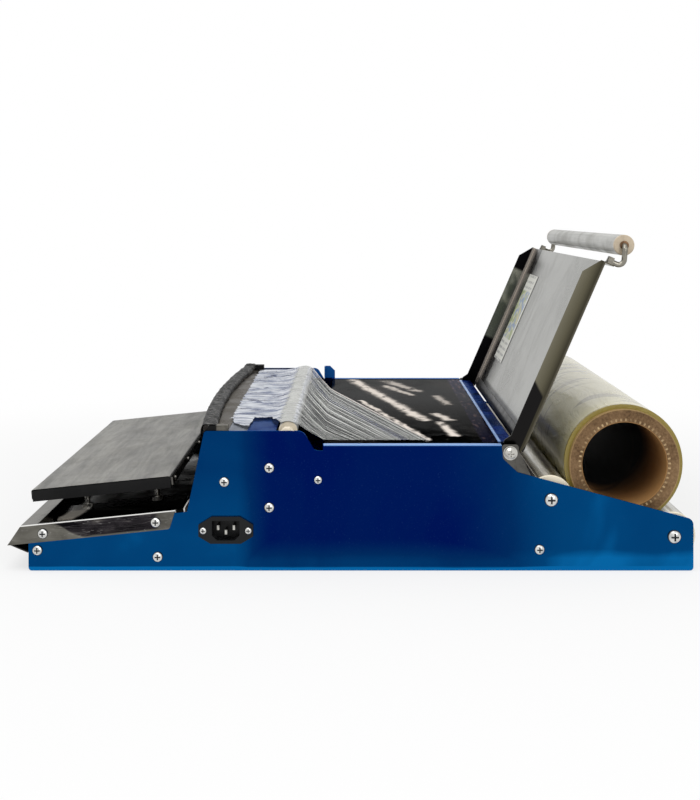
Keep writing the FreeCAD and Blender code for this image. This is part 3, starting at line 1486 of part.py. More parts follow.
def screws():
    height = value("screw_head_height")
    shank = value("screw_shank")
    length = value("screw_length")
    panel = pan_screw(value("screw_head"), height, shank, length)
    screw_group("panel_screws", panel, BASE_SCREWS + COVER_SCREWS + STRIP_SCREWS, "width / 2")
    small = pan_screw(value("small_screw_head"), height, shank, length)
    screw_group("table_screws", small, WALL_SCREWS, "width / 2")
    screw_group("tray_screws", panel, TRAY_SCREWS, "width / 2 + bright_skin")
    end_sizes = ("end_screw_head", "end_screw_head_height", "end_screw", "end_screw_length")
    large = pan_screw(*[value(size) for size in end_sizes])
    screw_group("roller_screws", large, REAR_ROLLERS.values(), "width / 2")
    inlet = pan_screw(value("inlet_screw_head"), 2.0, value("inlet_screw"), 6.0)
    seat = "width / 2 + inlet_flange_thick"
    screw_group("power_inlet_screws", inlet, INLET_SCREWS, seat, sides=(1,))


# Controls on the left panel

ROCKER_X = "(-width / 2 - switch_flange + 1)"


def power_switch_housing():
    """Switch body through the left panel, with a round bed for its rocker."""
    body = new_body("power_switch_housing")
    bezel = sketch_on(body, "YZ", "-width / 2")
    centred(bezel, "switch_back", "switch_up", "switch_width / 2", "switch_height / 2")
    pad(body, bezel, "switch_flange", backwards=True)
    rear = sketch_on(body, "YZ", "-width / 2")
    inner = "(switch_width / 2 - switch_flange)"
    height = "(switch_height / 2 - switch_flange)"
    centred(rear, "switch_back", "switch_up", inner, height)
    pad(body, rear, "switch_depth")
    bed = sketch_on(body, "XZ", "-switch_back")
    circle(bed, ROCKER_X, "switch_up", "2 * (rocker_radius + gap)")
    pocket(body, bed, "rocker_width + 2 * gap", both_ways=True)
    pins = sketch_on(body, "XZ", "-switch_back")
    circle(pins, ROCKER_X, "switch_up", "rocker_pin + 2 * slip")
    pocket(body, pins, "rocker_width + 3", both_ways=True)


def power_switch_rocker():
    """Rocker with two facets, a round underside and a pin at each end, tilted to one side."""
    frame = at("switch_back", "switch_up", ROCKER_X)
    frame.update(tilt="rocker_tilt", about=Vector(0, 1, 0))
    body = new_body("power_switch_rocker", frame)
    barrel = sketch_on(body, "XZ")
    circle(barrel, "0", "0", "2 * rocker_radius")
    pad(body, barrel, "rocker_width", both_ways=True)
    facets = sketch_on(body, "XZ")
    far = "-2 * rocker_radius"
    rim = "-1.6 - rocker_radius * tan(rocker_tilt * 1 deg)"
    over = "rocker_radius * 1.05"
    outline(facets, [("-1.6", "0"), (rim, over), (far, over), (far, "-" + over), (rim, "-" + over)])
    pocket(body, facets, "2 * rocker_width", both_ways=True)
    pin = sketch_on(body, "XZ")
    circle(pin, "0", "0", "rocker_pin")
    pad(body, pin, "rocker_width + 1.8", both_ways=True)


def pilot_lamp():
    """Lamp with a domed lens outside the left panel and its barrel inside."""
    body = new_body("pilot_lamp", at("lamp_back", "lamp_up"))
    face = "-width / 2"
    turn(body, [
        (face + " + 18", "0"),
        (face + " + 18", "lamp_diameter / 2 - 1"),
        (face, "lamp_diameter / 2 - 1"),
        (face, "lamp_diameter / 2 + 1"),
        (face + " - 1.5", "lamp_diameter / 2 + 1"),
        (face + " - 2", "lamp_diameter / 2 - 1"),
        (face + " - 4", "lamp_diameter / 2 - 2"),
        (face + " - 4.8", "0"),
    ])


def thermostat_body():
    """Thermostat behind the left panel, with a threaded bush through it for the shaft."""
    body = new_body("thermostat_body")
    block = sketch_on(body, "YZ", "-%s" % INNER_HALF)
    centred(block, "dial_back", "dial_up", "thermostat_size / 2", "thermostat_size / 2")
    pad(body, block, "thermostat_depth")
    bush = sketch_on(body, "YZ", "-%s" % INNER_HALF)
    circle(bush, "dial_back", "dial_up", "thermostat_bush")
    pad(body, bush, "panel_skin + dial_thick", backwards=True)
    hole = sketch_on(body, "YZ", "-width / 2 - dial_thick")
    circle(hole, "dial_back", "dial_up", "knob_shaft + 2 * slip")
    pocket(body, hole, "thermostat_depth * 0.6", backwards=True)


def thermostat_dial_plate():
    """Ring under the knob that carries the dial's marks."""
    body = new_body("thermostat_dial_plate")
    ring = sketch_on(body, "YZ", "-width / 2")
    circle(ring, "dial_back", "dial_up", "dial_diameter")
    circle(ring, "dial_back", "dial_up", "thermostat_bush + 2 * slip")
    pad(body, ring, "dial_thick", backwards=True)


def thermostat_knob():
    """Knob with a grip bar and a pointer, on its own shaft."""
    body = new_body("thermostat_knob", at("dial_back", "dial_up"))
    seat = "(-width / 2 - dial_thick - gap)"
    turn(body, [
        (seat, "0"),
        (seat, "knob_diameter / 2"),
        (seat + " - 3", "knob_diameter / 2"),
        (seat + " - 6", "knob_diameter / 2 - 3"),
        (seat + " - 7", "0"),
    ])
    grip = sketch_on(body, "YZ", seat + " - 4")
    low = "3 - knob_diameter / 2"
    high = "knob_diameter / 2 - 2"
    outline(grip, [("-4", low), ("4", low), ("2.5", high), ("-2.5", high)])
    pad(body, grip, "knob_height - 4", backwards=True)
    shaft = sketch_on(body, "YZ", seat)
    circle(shaft, "0", "0", "knob_shaft")
    pad(body, shaft, "panel_skin + 12")


# Electrical pieces on the base pan

def transformer():
    """Laminated core standing on its feet, with the winding round its middle limb."""
    body = new_body("transformer", at("transformer_back", "inner_skin", "transformer_side"))
    half = "transformer_length / 2"
    core = sketch_on(body, "XZ")
    rectangle(core, "-" + half, half, "3", "3 + transformer_height")
    pad(body, core, "transformer_stack", both_ways=True)
    for side in (-1, 1):
        window = sketch_on(body, "XZ")
        low = "%d * transformer_length / 4 - transformer_length / 12" % side
        high = "%d * transformer_length / 4 + transformer_length / 12" % side
        rectangle(window, low, high, "3 + transformer_height * 0.2", "3 + transformer_height * 0.8")
        pocket(body, window)
    coil = sketch_on(body, "XY", "3 + transformer_height * 0.22")
    wide = "transformer_length * 0.3"
    rectangle(coil, "-" + wide, wide, "-transformer_stack * 0.8", "transformer_stack * 0.8")
    pad(body, coil, "transformer_height * 0.56")
    feet = sketch_on(body, "XY")
    rectangle(feet, "-%s - 9" % half, half + " + 9", "-transformer_stack / 2", "transformer_stack / 2")
    pad(body, feet, "3")


def terminal_block():
    """Row of terminals with a screw well over each."""
    body = new_body("terminal_block", at("terminal_back", "inner_skin", "terminal_side"))
    half = "terminal_pitch * terminal_count / 2"
    section = sketch_on(body, "YZ")
    outline(section, [("-10", "0"), ("10", "0"), ("10", "6"), ("6", "15"), ("-6", "15"), ("-10", "6")])
    pad(body, section, "2 * " + half, both_ways=True)
    wells = sketch_on(body, "XY", "15")
    for number in range(int(value("terminal_count"))):
        circle(wells, "terminal_pitch * (%d.5) - %s" % (number, half), "0", "5")
    pocket(body, wells, "7")


def build():
    side_panel_right()
    side_panel_left()
    base_pan()
    tower_front_cover()
    tower_rear_cover()
    table_front_wall()
    table_top()
    rear_cross_panel()
    front_tray()
    plate_rails()
    plate_studs()
    plate_stud_nuts()
    plate_bottom_cover()
    plate_heater()
    hot_plate()
    hot_plate_cover()
    cloth_clamp()
    cutter_bar()
    cutter_wire()
    cutter_sleeve()
    cutter_end_blocks()
    front_roller()
    front_roller_bearings()
    lid_plate()
    lid_sticker()
    hinge_brackets()
    hinge_spacers()
    hinge_bolts()
    lid_bail()
    bail_clips()
    lid_roller()
    for name in REAR_ROLLERS:
        rear_roller(name)
    film_roll()
    film_web()
    power_inlet_body()
    power_inlet_pins()
    screws()
    power_switch_housing()
    power_switch_rocker()
    pilot_lamp()
    thermostat_body()
    thermostat_dial_plate()
    thermostat_knob()
    transformer()
    terminal_block()


def check():
    for item in doc.Objects:
        if {"Invalid", "Error"} & set(item.State):
            raise RuntimeError("%s can't be built: %s" % (item.Label, item.State))
    for part in PARTS:
        if part.Shape.isNull() or not part.Shape.isValid() or not part.Shape.Solids:
            raise RuntimeError("%s has no valid solid" % part.Label)


def write():
    os.makedirs("parts", exist_ok=True)
    for part in PARTS:
        part.Shape.exportStep("parts/%s.step" % part.Label)
        print("%-26s %d solids %12.1f mm3" % (part.Label, len(part.Shape.Solids), part.Shape.Volume))


build()
doc.recompute()
check()
write()
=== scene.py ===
"""Looks of the cling film wrapping machine: its finishes, loose film, cloth pieces and small trim."""
import json
import math

import bmesh
import bpy
from mathutils import Matrix, Vector, noise


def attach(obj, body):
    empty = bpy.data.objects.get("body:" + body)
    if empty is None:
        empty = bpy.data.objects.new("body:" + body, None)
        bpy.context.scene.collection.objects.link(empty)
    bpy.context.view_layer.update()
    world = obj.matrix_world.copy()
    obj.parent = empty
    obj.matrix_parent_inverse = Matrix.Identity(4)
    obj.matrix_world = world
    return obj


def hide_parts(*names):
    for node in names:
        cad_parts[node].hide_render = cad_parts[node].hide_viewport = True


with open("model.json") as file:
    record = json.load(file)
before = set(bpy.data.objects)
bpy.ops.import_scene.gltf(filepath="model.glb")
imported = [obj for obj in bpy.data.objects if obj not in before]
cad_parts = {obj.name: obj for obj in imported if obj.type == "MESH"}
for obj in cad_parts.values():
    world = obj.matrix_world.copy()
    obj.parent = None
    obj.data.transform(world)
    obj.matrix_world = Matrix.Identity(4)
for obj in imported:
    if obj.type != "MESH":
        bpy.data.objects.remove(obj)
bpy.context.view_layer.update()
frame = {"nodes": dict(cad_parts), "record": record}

NODES = frame["nodes"]

# Places and directions on the machine, in metres
PANEL_FACE = 0.2425
PANEL_FRONT = -0.2875
LID_AXIS = Vector((0.0, 0.1402, 0.104))
LID_ALONG = Vector((0.0, 0.3987, 0.9171))
LID_BEHIND = Vector((0.0, 0.9171, -0.3987))
ROLL_AXIS = Vector((0.0, 0.244349, 0.091262))
DECK_RIM = Vector((0.0, -0.2942, 0.0399))
DECK_TILT = math.radians(5.8)
DECK_ALONG = Vector((0.0, math.cos(DECK_TILT), math.sin(DECK_TILT)))
DECK_ABOVE = Vector((0.0, -math.sin(DECK_TILT), math.cos(DECK_TILT)))
DIAL_CENTRE = Vector((-0.2435, 0.0125, 0.054))
SWITCH_FACE = Vector((-0.2445, -0.1095, 0.038))
ROLLER_AXIS = Vector((0.0, 0.247514, 0.287858))


def linear(level):
    """One level of a screen colour, from 0 to 1, made linear."""
    if level <= 0.04045:
        return level / 12.92
    return ((level + 0.055) / 1.055) ** 2.4


def paint(colour):
    """A screen colour, three levels out of 255, as the linear one that a shader takes."""
    if isinstance(colour, tuple) and len(colour) == 3:
        return (*[linear(level / 255.0) for level in colour], 1.0)
    return colour


def shade(colour, share):
    """A screen colour made darker, and linear."""
    return (*[level * share for level in paint(colour)[:3]], 1.0)


# Short ways to place and join nodes

def add(tree, kind, **settings):
    """A node of that kind, with its options set."""
    made = tree.nodes.new(kind)
    for name, choice in settings.items():
        setattr(made, name, choice)
    return made


def join(tree, target, source):
    """Joins a socket to another, or writes a plain number or colour on it."""
    if isinstance(source, bpy.types.NodeSocket):
        tree.links.new(target, source)
    else:
        target.default_value = source


def maths(tree, operation, first, second=None, clamp=False):
    """The result of one operation on numbers or sockets."""
    step = add(tree, "ShaderNodeMath", operation=operation, use_clamp=clamp)
    join(tree, step.inputs[0], first)
    if second is not None:
        join(tree, step.inputs[1], second)
    return step.outputs[0]


def plus(tree, first, second, clamp=False):
    """The sum of two numbers, held between 0 and 1 where clamp is set."""
    return maths(tree, "ADD", first, second, clamp)


def less(tree, first, second):
    """The first number less the second."""
    return maths(tree, "SUBTRACT", first, second)


def times(tree, first, second):
    """The product of two numbers."""
    return maths(tree, "MULTIPLY", first, second)


def most(tree, first, *others):
    """The largest of several numbers."""
    for other in others:
        first = maths(tree, "MAXIMUM", first, other)
    return first


def vector_maths(tree, operation, first, second=None):
    """The node of one operation on places."""
    step = add(tree, "ShaderNodeVectorMath", operation=operation)
    join(tree, step.inputs[0], first)
    if second is not None:
        join(tree, step.inputs[1], second)
    return step


def stretched(tree, place, scale):
    """The place multiplied along each axis, which draws a pattern out."""
    return vector_maths(tree, "MULTIPLY", place, scale).outputs["Vector"]


def spread(tree, source, low, high, to_low=0.0, to_high=1.0, smooth=False):
    """A number taken from one range to another, held at its ends."""
    step = add(tree, "ShaderNodeMapRange")
    if smooth:
        step.interpolation_type = "SMOOTHSTEP"
    join(tree, step.inputs[0], source)
    for socket, level in zip(step.inputs[1:5], (low, high, to_low, to_high)):
        join(tree, socket, level)
    return step.outputs[0]


def window(tree, source, low, high, soft):
    """1 between two places, falling softly to 0 outside them."""
    rising = spread(tree, source, low - soft, low)
    falling = spread(tree, source, high, high + soft, 1.0, 0.0)
    return times(tree, rising, falling)


def blend(tree, share, first, second):
    """Two colours mixed by a share, each a screen colour or a socket."""
    step = add(tree, "ShaderNodeMix", data_type="RGBA")
    join(tree, step.inputs[0], share)
    join(tree, step.inputs[6], paint(first))
    join(tree, step.inputs[7], paint(second))
    return step.outputs[2]


def speckle(tree, place, scale, detail=2.0, roughness=0.5, distortion=0.0):
    """Plain noise at a place, from 0 to 1."""
    step = add(tree, "ShaderNodeTexNoise")
    join(tree, step.inputs["Vector"], place)
    join(tree, step.inputs["Scale"], scale)
    join(tree, step.inputs["Detail"], detail)
    join(tree, step.inputs["Roughness"], roughness)
    join(tree, step.inputs["Distortion"], distortion)
    return step.outputs["Fac"]


def apart(tree, place):
    """The three numbers of a place."""
    step = add(tree, "ShaderNodeSeparateXYZ")
    join(tree, step.inputs[0], place)
    return step.outputs


# Effects that several finishes share

def open_group(name, outputs, **inputs):
    """An empty effect with its named sockets: the place, numbers and vectors with their usual values."""
    group = bpy.data.node_groups.new(name, "ShaderNodeTree")
    group.interface.new_socket(name="Place", in_out="INPUT", socket_type="NodeSocketVector")
    for label, level in inputs.items():
        kind = "NodeSocketVector" if isinstance(level, tuple) else "NodeSocketFloat"
        socket = group.interface.new_socket(name=label.replace("_", " "), in_out="INPUT", socket_type=kind)
        socket.default_value = level
    for label in outputs:
        group.interface.new_socket(name=label, in_out="OUTPUT", socket_type="NodeSocketFloat")
    return group, add(group, "NodeGroupInput").outputs, add(group, "NodeGroupOutput").inputs


def rolling_grain():
    """Long fine streaks along one axis, as rolled and brushed metal has."""
    outputs = ["Streaks", "Height"]
    group, given, put = open_group("rolling grain", outputs, Stretch=(2.0, 900.0, 900.0), Contrast=0.5)
    place = stretched(group, given["Place"], given["Stretch"])
    fine = speckle(group, place, 1.0, 3.0, 0.6)
    broad = speckle(group, stretched(group, place, (0.4, 0.12, 0.12)), 1.0)
    fine_share = times(group, fine, 0.6)
    both = plus(group, fine_share, times(group, broad, 0.4))
    swing = times(group, less(group, both, 0.5), given["Contrast"])
    join(group, put["Streaks"], plus(group, swing, 0.5, clamp=True))
    join(group, put["Height"], both)
    return group


def handling_marks():
    """Soft smudges, thin scratches and fine dust."""
    outputs = ["Smudge", "Scratch", "Dust"]
    group, given, put = open_group("handling marks", outputs, Smudge_size=18.0, Scratch_density=60.0)
    smudge = speckle(group, given["Place"], given["Smudge size"], 4.0, 0.62, 0.6)
    join(group, put["Smudge"], spread(group, smudge, 0.38, 0.68, smooth=True))
    along = stretched(group, given["Place"], (1.0, 0.06, 1.0))
    cut = speckle(group, along, given["Scratch density"], 2.0, 0.5, 2.6)
    depth = maths(group, "ABSOLUTE", less(group, cut, 0.5))
    join(group, put["Scratch"], spread(group, depth, 0.0, 0.006, 1.0, 0.0))
    grit = speckle(group, given["Place"], 900.0, 1.0)
    join(group, put["Dust"], spread(group, grit, 0.66, 0.8))
    return group


def lamp_bar():
    """One pale bar from a start to an end, with ragged ends and sides, as polished sheet mirrors a lamp."""
    ends = {"Start": (0.0, 0.0, 0.0), "End": (0.1, 0.0, 0.0)}
    group, given, put = open_group("lamp bar", ["Bar"], **ends, Width=0.006)
    ragged = add(group, "ShaderNodeTexNoise")
    join(group, ragged.inputs["Vector"], given["Place"])
    join(group, ragged.inputs["Scale"], 60.0)
    shift = vector_maths(group, "SUBTRACT", ragged.outputs["Color"], (0.5, 0.5, 0.5)).outputs["Vector"]
    bent = vector_maths(group, "ADD", given["Place"], stretched(group, shift, (0.03, 0.006, 0.0)))
    offset = vector_maths(group, "SUBTRACT", bent.outputs["Vector"], given["Start"]).outputs["Vector"]
    flat = stretched(group, offset, (1.0, 1.0, 0.0))
    course = vector_maths(group, "SUBTRACT", given["End"], given["Start"]).outputs["Vector"]
    along = vector_maths(group, "DOT_PRODUCT", flat, course).outputs["Value"]
    whole = vector_maths(group, "DOT_PRODUCT", course, course).outputs["Value"]
    share = maths(group, "DIVIDE", along, whole, clamp=True)
    foot = add(group, "ShaderNodeVectorMath", operation="SCALE")
    join(group, foot.inputs[0], course)
    join(group, foot.inputs["Scale"], share)
    gap = vector_maths(group, "DISTANCE", flat, foot.outputs["Vector"]).outputs["Value"]
    inner = times(group, given["Width"], 0.15)
    join(group, put["Bar"], spread(group, gap, inner, given["Width"], 1.0, 0.0, smooth=True))
    return group


GRAIN = rolling_grain()
MARKS = handling_marks()
LAMP = lamp_bar()


class Finish:
    """A material while it is made: its shader, its place, and short ways to set it."""

    def __init__(self, name, metallic=0.0, roughness=0.5, **levels):
        self.material = bpy.data.materials.new(name)
        self.material.use_nodes = True
        self.tree = self.material.node_tree
        self.shader = self.tree.nodes["Principled BSDF"].inputs
        self.shader["Metallic"].default_value = metallic
        self.shader["Roughness"].default_value = roughness
        for label, level in levels.items():
            self.shader[label.replace("_", " ")].default_value = level
        self.place = add(self.tree, "ShaderNodeTexCoord").outputs["Object"]

    def axis(self, letter):
        """One number of the place."""
        return apart(self.tree, self.place)[letter]

    def beyond(self, origin):
        """The place measured from another origin."""
        return vector_maths(self.tree, "SUBTRACT", self.place, origin).outputs["Vector"]

    def along(self, origin, direction):
        """How far the place lies from an origin in one direction."""
        return vector_maths(self.tree, "DOT_PRODUCT", self.beyond(origin), direction).outputs["Value"]

    def effect(self, group, **levels):
        """A shared effect with its own values."""
        made = add(self.tree, "ShaderNodeGroup", node_tree=group)
        join(self.tree, made.inputs["Place"], self.place)
        for label, level in levels.items():
            join(self.tree, made.inputs[label.replace("_", " ")], level)
        return made.outputs

    def noise(self, stretch, detail=2.0, roughness=0.5, distortion=0.0):
        """Noise at the place, drawn out along each axis."""
        drawn = stretched(self.tree, self.place, stretch)
        return speckle(self.tree, drawn, 1.0, detail, roughness, distortion)

    def ramp(self, source, *stops):
        """A colour picked by a number, from stops in rising order."""
        made = add(self.tree, "ShaderNodeValToRGB")
        join(self.tree, made.inputs[0], source)
        scale = made.color_ramp.elements
        while len(scale) < len(stops):
            scale.new(0.5)
        for step, (position, colour) in zip(scale, stops):
            step.position = position
            step.color = paint(colour)
        return made.outputs["Color"]

    def part(self, source, share):
        """A share of a number."""
        return maths(self.tree, "MULTIPLY", source, share)

    def swing(self, source, share):
        """A share of a number's distance from its middle, 0.5."""
        return self.part(less(self.tree, source, 0.5), share)

    def colour(self, source):
        """Sets the colour."""
        join(self.tree, self.shader["Base Color"], source)

    def dull(self, source, share):
        """Takes that share of the metal away where the source is 1."""
        join(self.tree, self.shader["Metallic"], less(self.tree, 1.0, self.part(source, share)))

    def gloss(self, source, low, high):
        """Roughness from a number between 0 and 1."""
        join(self.tree, self.shader["Roughness"], spread(self.tree, source, 0.0, 1.0, low, high))

    def bump(self, height, depth, strength=1.0):
        """Raises the surface by a height between 0 and 1, times a depth in metres."""
        made = add(self.tree, "ShaderNodeBump")
        join(self.tree, made.inputs["Strength"], strength)
        join(self.tree, made.inputs["Distance"], depth)
        join(self.tree, made.inputs["Height"], height)
        join(self.tree, self.shader["Normal"], made.outputs[0])


# How much of a metal's shine is left at a grazing angle
DULL_EDGE = (0.5, 0.5, 0.5, 1.0)
DARK_EDGE = (0.12, 0.12, 0.12, 1.0)
LID_EDGE = (0.7, 0.7, 0.69, 1.0)
TABLE_EDGE = (0.1, 0.1, 0.1, 1.0)
TOWER_EDGE = (0.34, 0.33, 0.32, 1.0)
BLUE_EDGE = (0.16, 0.42, 0.95, 1.0)
TRIM_EDGE = (0.2, 0.27, 0.46, 1.0)
# The dark room, painted as a reflection into polished sheet
PAINTED_DARK_REFLECTION = (20, 20, 22)

# The lamps that the table mirrors: start, end, half width and how bright
TABLE_LAMPS = [
    ((-0.2310, -0.0024), (0.0980, 0.0710), 0.0115, 1.0),
    ((-0.0400, 0.0080), (0.2155, 0.0694), 0.0052, 1.0),
    ((-0.2110, 0.0406), (-0.1190, 0.0743), 0.0110, 0.8),
    ((-0.1640, 0.0383), (-0.0850, 0.0659), 0.0085, 0.85),
    ((-0.0765, 0.0937), (-0.0133, 0.1017), 0.0090, 0.75),
    ((0.0585, 0.0844), (0.0985, 0.0979), 0.0090, 0.95),
    ((0.1110, 0.0861), (0.1940, 0.0946), 0.0080, 1.0),
]


# Metal finishes

def blue_enamel():
    """Polished blue paint film over steel, navy in its middle, with painted reflections that make it
    lighter at its foot and both ends, and painted highlights on the far tab and along the top flange beside
    the table.
    """
    made = Finish("polished blue enamel", 1.0, 0.18, Specular_Tint=BLUE_EDGE)
    tree = made.tree
    marks = made.effect(MARKS, Smudge_size=7.0)
    height = made.axis("Z")
    # Painted reflection: lighter at the foot, at the low front and towards the rear end, navy in the middle
    foot = spread(tree, height, 0.006, 0.030, 0.6, 0.0, smooth=True)
    edge = spread(tree, height, 0.002, 0.004, 0.5, 0.0)
    front = spread(tree, made.axis("Y"), -0.105, -0.07, 0.58, 0.0, smooth=True)
    rear = spread(tree, made.axis("Y"), 0.07, 0.19, 0.0, 0.85, smooth=True)
    low = times(tree, front, spread(tree, height, 0.03, 0.09, 1.4, 1.0))
    painted_light = most(tree, foot, low, rear)
    drift = made.swing(marks["Smudge"], 0.14)
    corner = times(tree, spread(tree, height, 0.011, 0.019, 0.16, 0.0), rear)
    lower = plus(tree, edge, corner)
    tone = plus(tree, plus(tree, painted_light, lower), drift, clamp=True)
    navy = (0.0, (0, 20, 86))
    middle = (0.5, (1, 44, 96))
    light = (0.85, (2, 68, 121))
    bright = (1.0, (8, 104, 168))
    film = made.ramp(tone, navy, middle, light, bright)
    dusty = blend(tree, made.part(marks["Dust"], 0.08), film, (90, 130, 180))
    # Painted highlight: the far tab above the table is painted a lighter, matt blue
    far_side = spread(tree, made.axis("X"), -0.20, -0.19, 1.0, 0.0)
    behind_tower = window(tree, made.axis("Y"), -0.05, 0.0, 0.001)
    over_table = spread(tree, height, 0.1114, 0.1118)
    painted_lit_ear = times(tree, times(tree, far_side, behind_tower), over_table)
    painted = blend(tree, painted_lit_ear, dusty, (26, 92, 168))
    # Painted highlight: a pale blue line along the top flange beside the table, made matt
    beside_table = window(tree, made.axis("Y"), -0.0255, 0.1447, 0.0005)
    near_rim = times(tree, beside_table, spread(tree, made.axis("X"), 0.10, 0.11))
    rim = times(tree, window(tree, height, 0.1106, 0.1113, 0.0001), near_rim)
    made.colour(blend(tree, rim, painted, (104, 150, 208)))
    matt = most(tree, painted_lit_ear, rim)
    made.dull(matt, 0.8)
    made.gloss(marks["Smudge"], 0.14, 0.26)
    made.bump(made.effect(GRAIN, Stretch=(3.0, 3.0, 420.0))["Height"], 0.00003, 0.3)
    return made.material


def blue_trim():
    """Blue cross sheets: hazed deep blue, with a painted highlight at the bend beside the table and painted
    shade under the film.
    """
    made = Finish("hazed blue trim", 1.0, 0.22, Specular_Tint=TRIM_EDGE)
    tree = made.tree
    marks = made.effect(MARKS, Smudge_size=22.0)
    cloud = made.noise((30.0, 120.0, 120.0), 3.0, 0.6)
    haze = made.ramp(cloud, (0.3, (30, 46, 98)), (0.7, (84, 100, 146)))
    back = made.axis("Y")
    # Painted highlight: a pale line at the bend; painted shade on the top under the film
    bend = window(tree, back, 0.1310, 0.1336, 0.0006)
    before = window(tree, back, -0.1120, -0.0945, 0.0006)
    on_top = spread(tree, made.axis("Z"), 0.1100, 0.1106)
    line = times(tree, bend, on_top)
    shaded = blend(tree, times(tree, before, on_top), haze, (34, 42, 44))
    made.colour(blend(tree, line, shaded, (112, 152, 208)))
    matt = most(tree, line, made.part(before, 0.7))
    made.dull(matt, 0.9)
    made.gloss(marks["Smudge"], 0.16, 0.34)
    return made.material


def lid_web_colour(made, along, behind, grain, marks):
    """The lid's web: pale and brushed, with painted dark reflection along its far side and its foot, and a
    painted highlight line at the bend.
    """
    tree = made.tree
    pale = made.ramp(grain["Streaks"], (0.2, (164, 164, 162)), (0.8, (188, 188, 185)))
    smudged = blend(tree, made.part(marks["Smudge"], 0.16), pale, (136, 136, 132))
    # Painted reflection: dark along the far side and the foot of the web; painted highlight at the bend
    far_side = spread(tree, made.axis("X"), -0.1655, -0.1635, 1.0, 0.0)
    low_side = spread(tree, along, 0.0195, 0.0225, 1.0, 0.0)
    shaded = most(tree, far_side, low_side)
    front_face = spread(tree, behind, 0.0114, 0.0119, 1.0, 0.0)
    darkened = blend(tree, times(tree, shaded, front_face), smudged, PAINTED_DARK_REFLECTION)
    bend = spread(tree, made.axis("X"), -0.2270, -0.2262, 1.0, 0.0)
    return blend(tree, bend, darkened, (206, 196, 186))


def near_flange_colour(made, along, behind, cloud):
    """The lid's near flange: an olive grey painted reflection, painted black at its foot under a slanted
    border.
    """
    tree = made.tree
    # Painted reflection: olive grey from front to rear, black at the foot
    share = spread(tree, behind, -0.0036, 0.0124)
    front = (0.0, (112, 108, 92))
    middle = (0.5, (92, 88, 72))
    rear = (0.85, (60, 57, 46))
    bend = (1.0, (96, 92, 80))
    olive = made.ramp(share, front, middle, rear, bend)
    wavy = plus(tree, along, made.part(cloud, 0.004))
    slanted = plus(tree, wavy, made.part(behind, 0.9))
    low_black = spread(tree, slanted, 0.0650, 0.0675, 1.0, 0.0)
    front_part = spread(tree, behind, 0.0084, 0.0092, 1.0, 0.0)
    return blend(tree, times(tree, low_black, front_part), olive, (30, 29, 29))


def far_flange_colour(made, along, behind, cloud):
    """The lid's far flange: a painted dark reflection, with a dim painted reflection of the sticker and a
    painted highlight line at the bend.
    """
    tree = made.tree
    # Painted reflection of the sticker in the dark flange, and a painted highlight at the bend
    patchy = spread(tree, cloud, 0.42, 0.6, smooth=True)
    dim = blend(tree, patchy, (100, 104, 96), (158, 158, 146))
    face = blend(tree, window(tree, along, 0.068, 0.156, 0.003), PAINTED_DARK_REFLECTION, dim)
    return blend(tree, spread(tree, behind, 0.0080, 0.0088), face, (206, 196, 186))


def lid_sheet():
    """Polished stainless sheet of the lid."""
    made = Finish("polished lid sheet", 1.0, 0.2, Specular_Tint=LID_EDGE)
    tree = made.tree
    grain = made.effect(GRAIN, Stretch=(5.0, 240.0, 240.0), Contrast=0.14)
    marks = made.effect(MARKS, Smudge_size=12.0)
    along = made.along(LID_AXIS, LID_ALONG)
    behind = made.along(LID_AXIS, LID_BEHIND)
    cloud = made.noise((20.0, 60.0, 30.0))
    # The web and both flanges carry painted reflections and highlights in their colour
    web = lid_web_colour(made, along, behind, grain, marks)
    near = near_flange_colour(made, along, behind, cloud)
    far = far_flange_colour(made, along, behind, cloud)
    at_far = spread(tree, made.axis("X"), -0.22875, -0.22870, 1.0, 0.0)
    at_near = spread(tree, made.axis("X"), 0.22870, 0.22875)
    made.colour(blend(tree, at_near, blend(tree, at_far, web, far), near))
    made.gloss(marks["Smudge"], 0.18, 0.28)
    made.bump(grain["Height"], 0.00001, 0.1)
    return made.material


def table_sheet():
    """Mirror polished stainless, with a painted reflection of a dark room and a few slanted lamps in its
    colour.
    """
    made = Finish("mirror stainless table", 1.0, 0.1, Specular_Tint=TABLE_EDGE, Specular_IOR_Level=0.0)
    tree = made.tree
    marks = made.effect(MARKS, Smudge_size=26.0, Scratch_density=90.0)
    share = 0.0
    # Painted reflection: pale lamp bars over a dark room, and a violet band at the rear
    for start, end, width, level in TABLE_LAMPS:
        bar = made.effect(LAMP, Start=(*start, 0.0), End=(*end, 0.0), Width=width)["Bar"]
        share = most(tree, made.part(bar, level), share)
    cloud = made.noise((26.0, 60.0, 1.0), 3.0, 0.6)
    painted_light = times(tree, share, spread(tree, cloud, 0.3, 0.52, 0.3, 1.0, smooth=True))
    drift = made.noise((7.0, 20.0, 1.0), 2.0, 0.5)
    dark = (0.35, (14, 14, 14))
    green = (0.5, (34, 38, 37))
    brown = (0.65, (66, 62, 60))
    room = made.ramp(drift, dark, green, brown)
    band = window(tree, made.axis("Y"), 0.1175, 0.140, 0.0012)
    specks = spread(tree, made.noise((60.0, 180.0, 1.0)), 0.56, 0.66, 0.0, 0.6)
    violet = blend(tree, specks, (66, 66, 92), (190, 160, 160))
    sheet = blend(tree, band, room, violet)
    lamps = blend(tree, painted_light, sheet, (240, 230, 220))
    made.colour(blend(tree, made.part(marks["Scratch"], 0.2), lamps, (150, 150, 150)))
    haze = most(tree, made.part(band, 0.12), made.part(spread(tree, drift, 0.4, 0.7), 0.2))
    far = spread(tree, made.axis("X"), -0.20, -0.02, 0.5, 0.0)
    matt = most(tree, painted_light, haze, far)
    made.dull(matt, 0.9)
    made.gloss(marks["Smudge"], 0.05, 0.18)
    return made.material


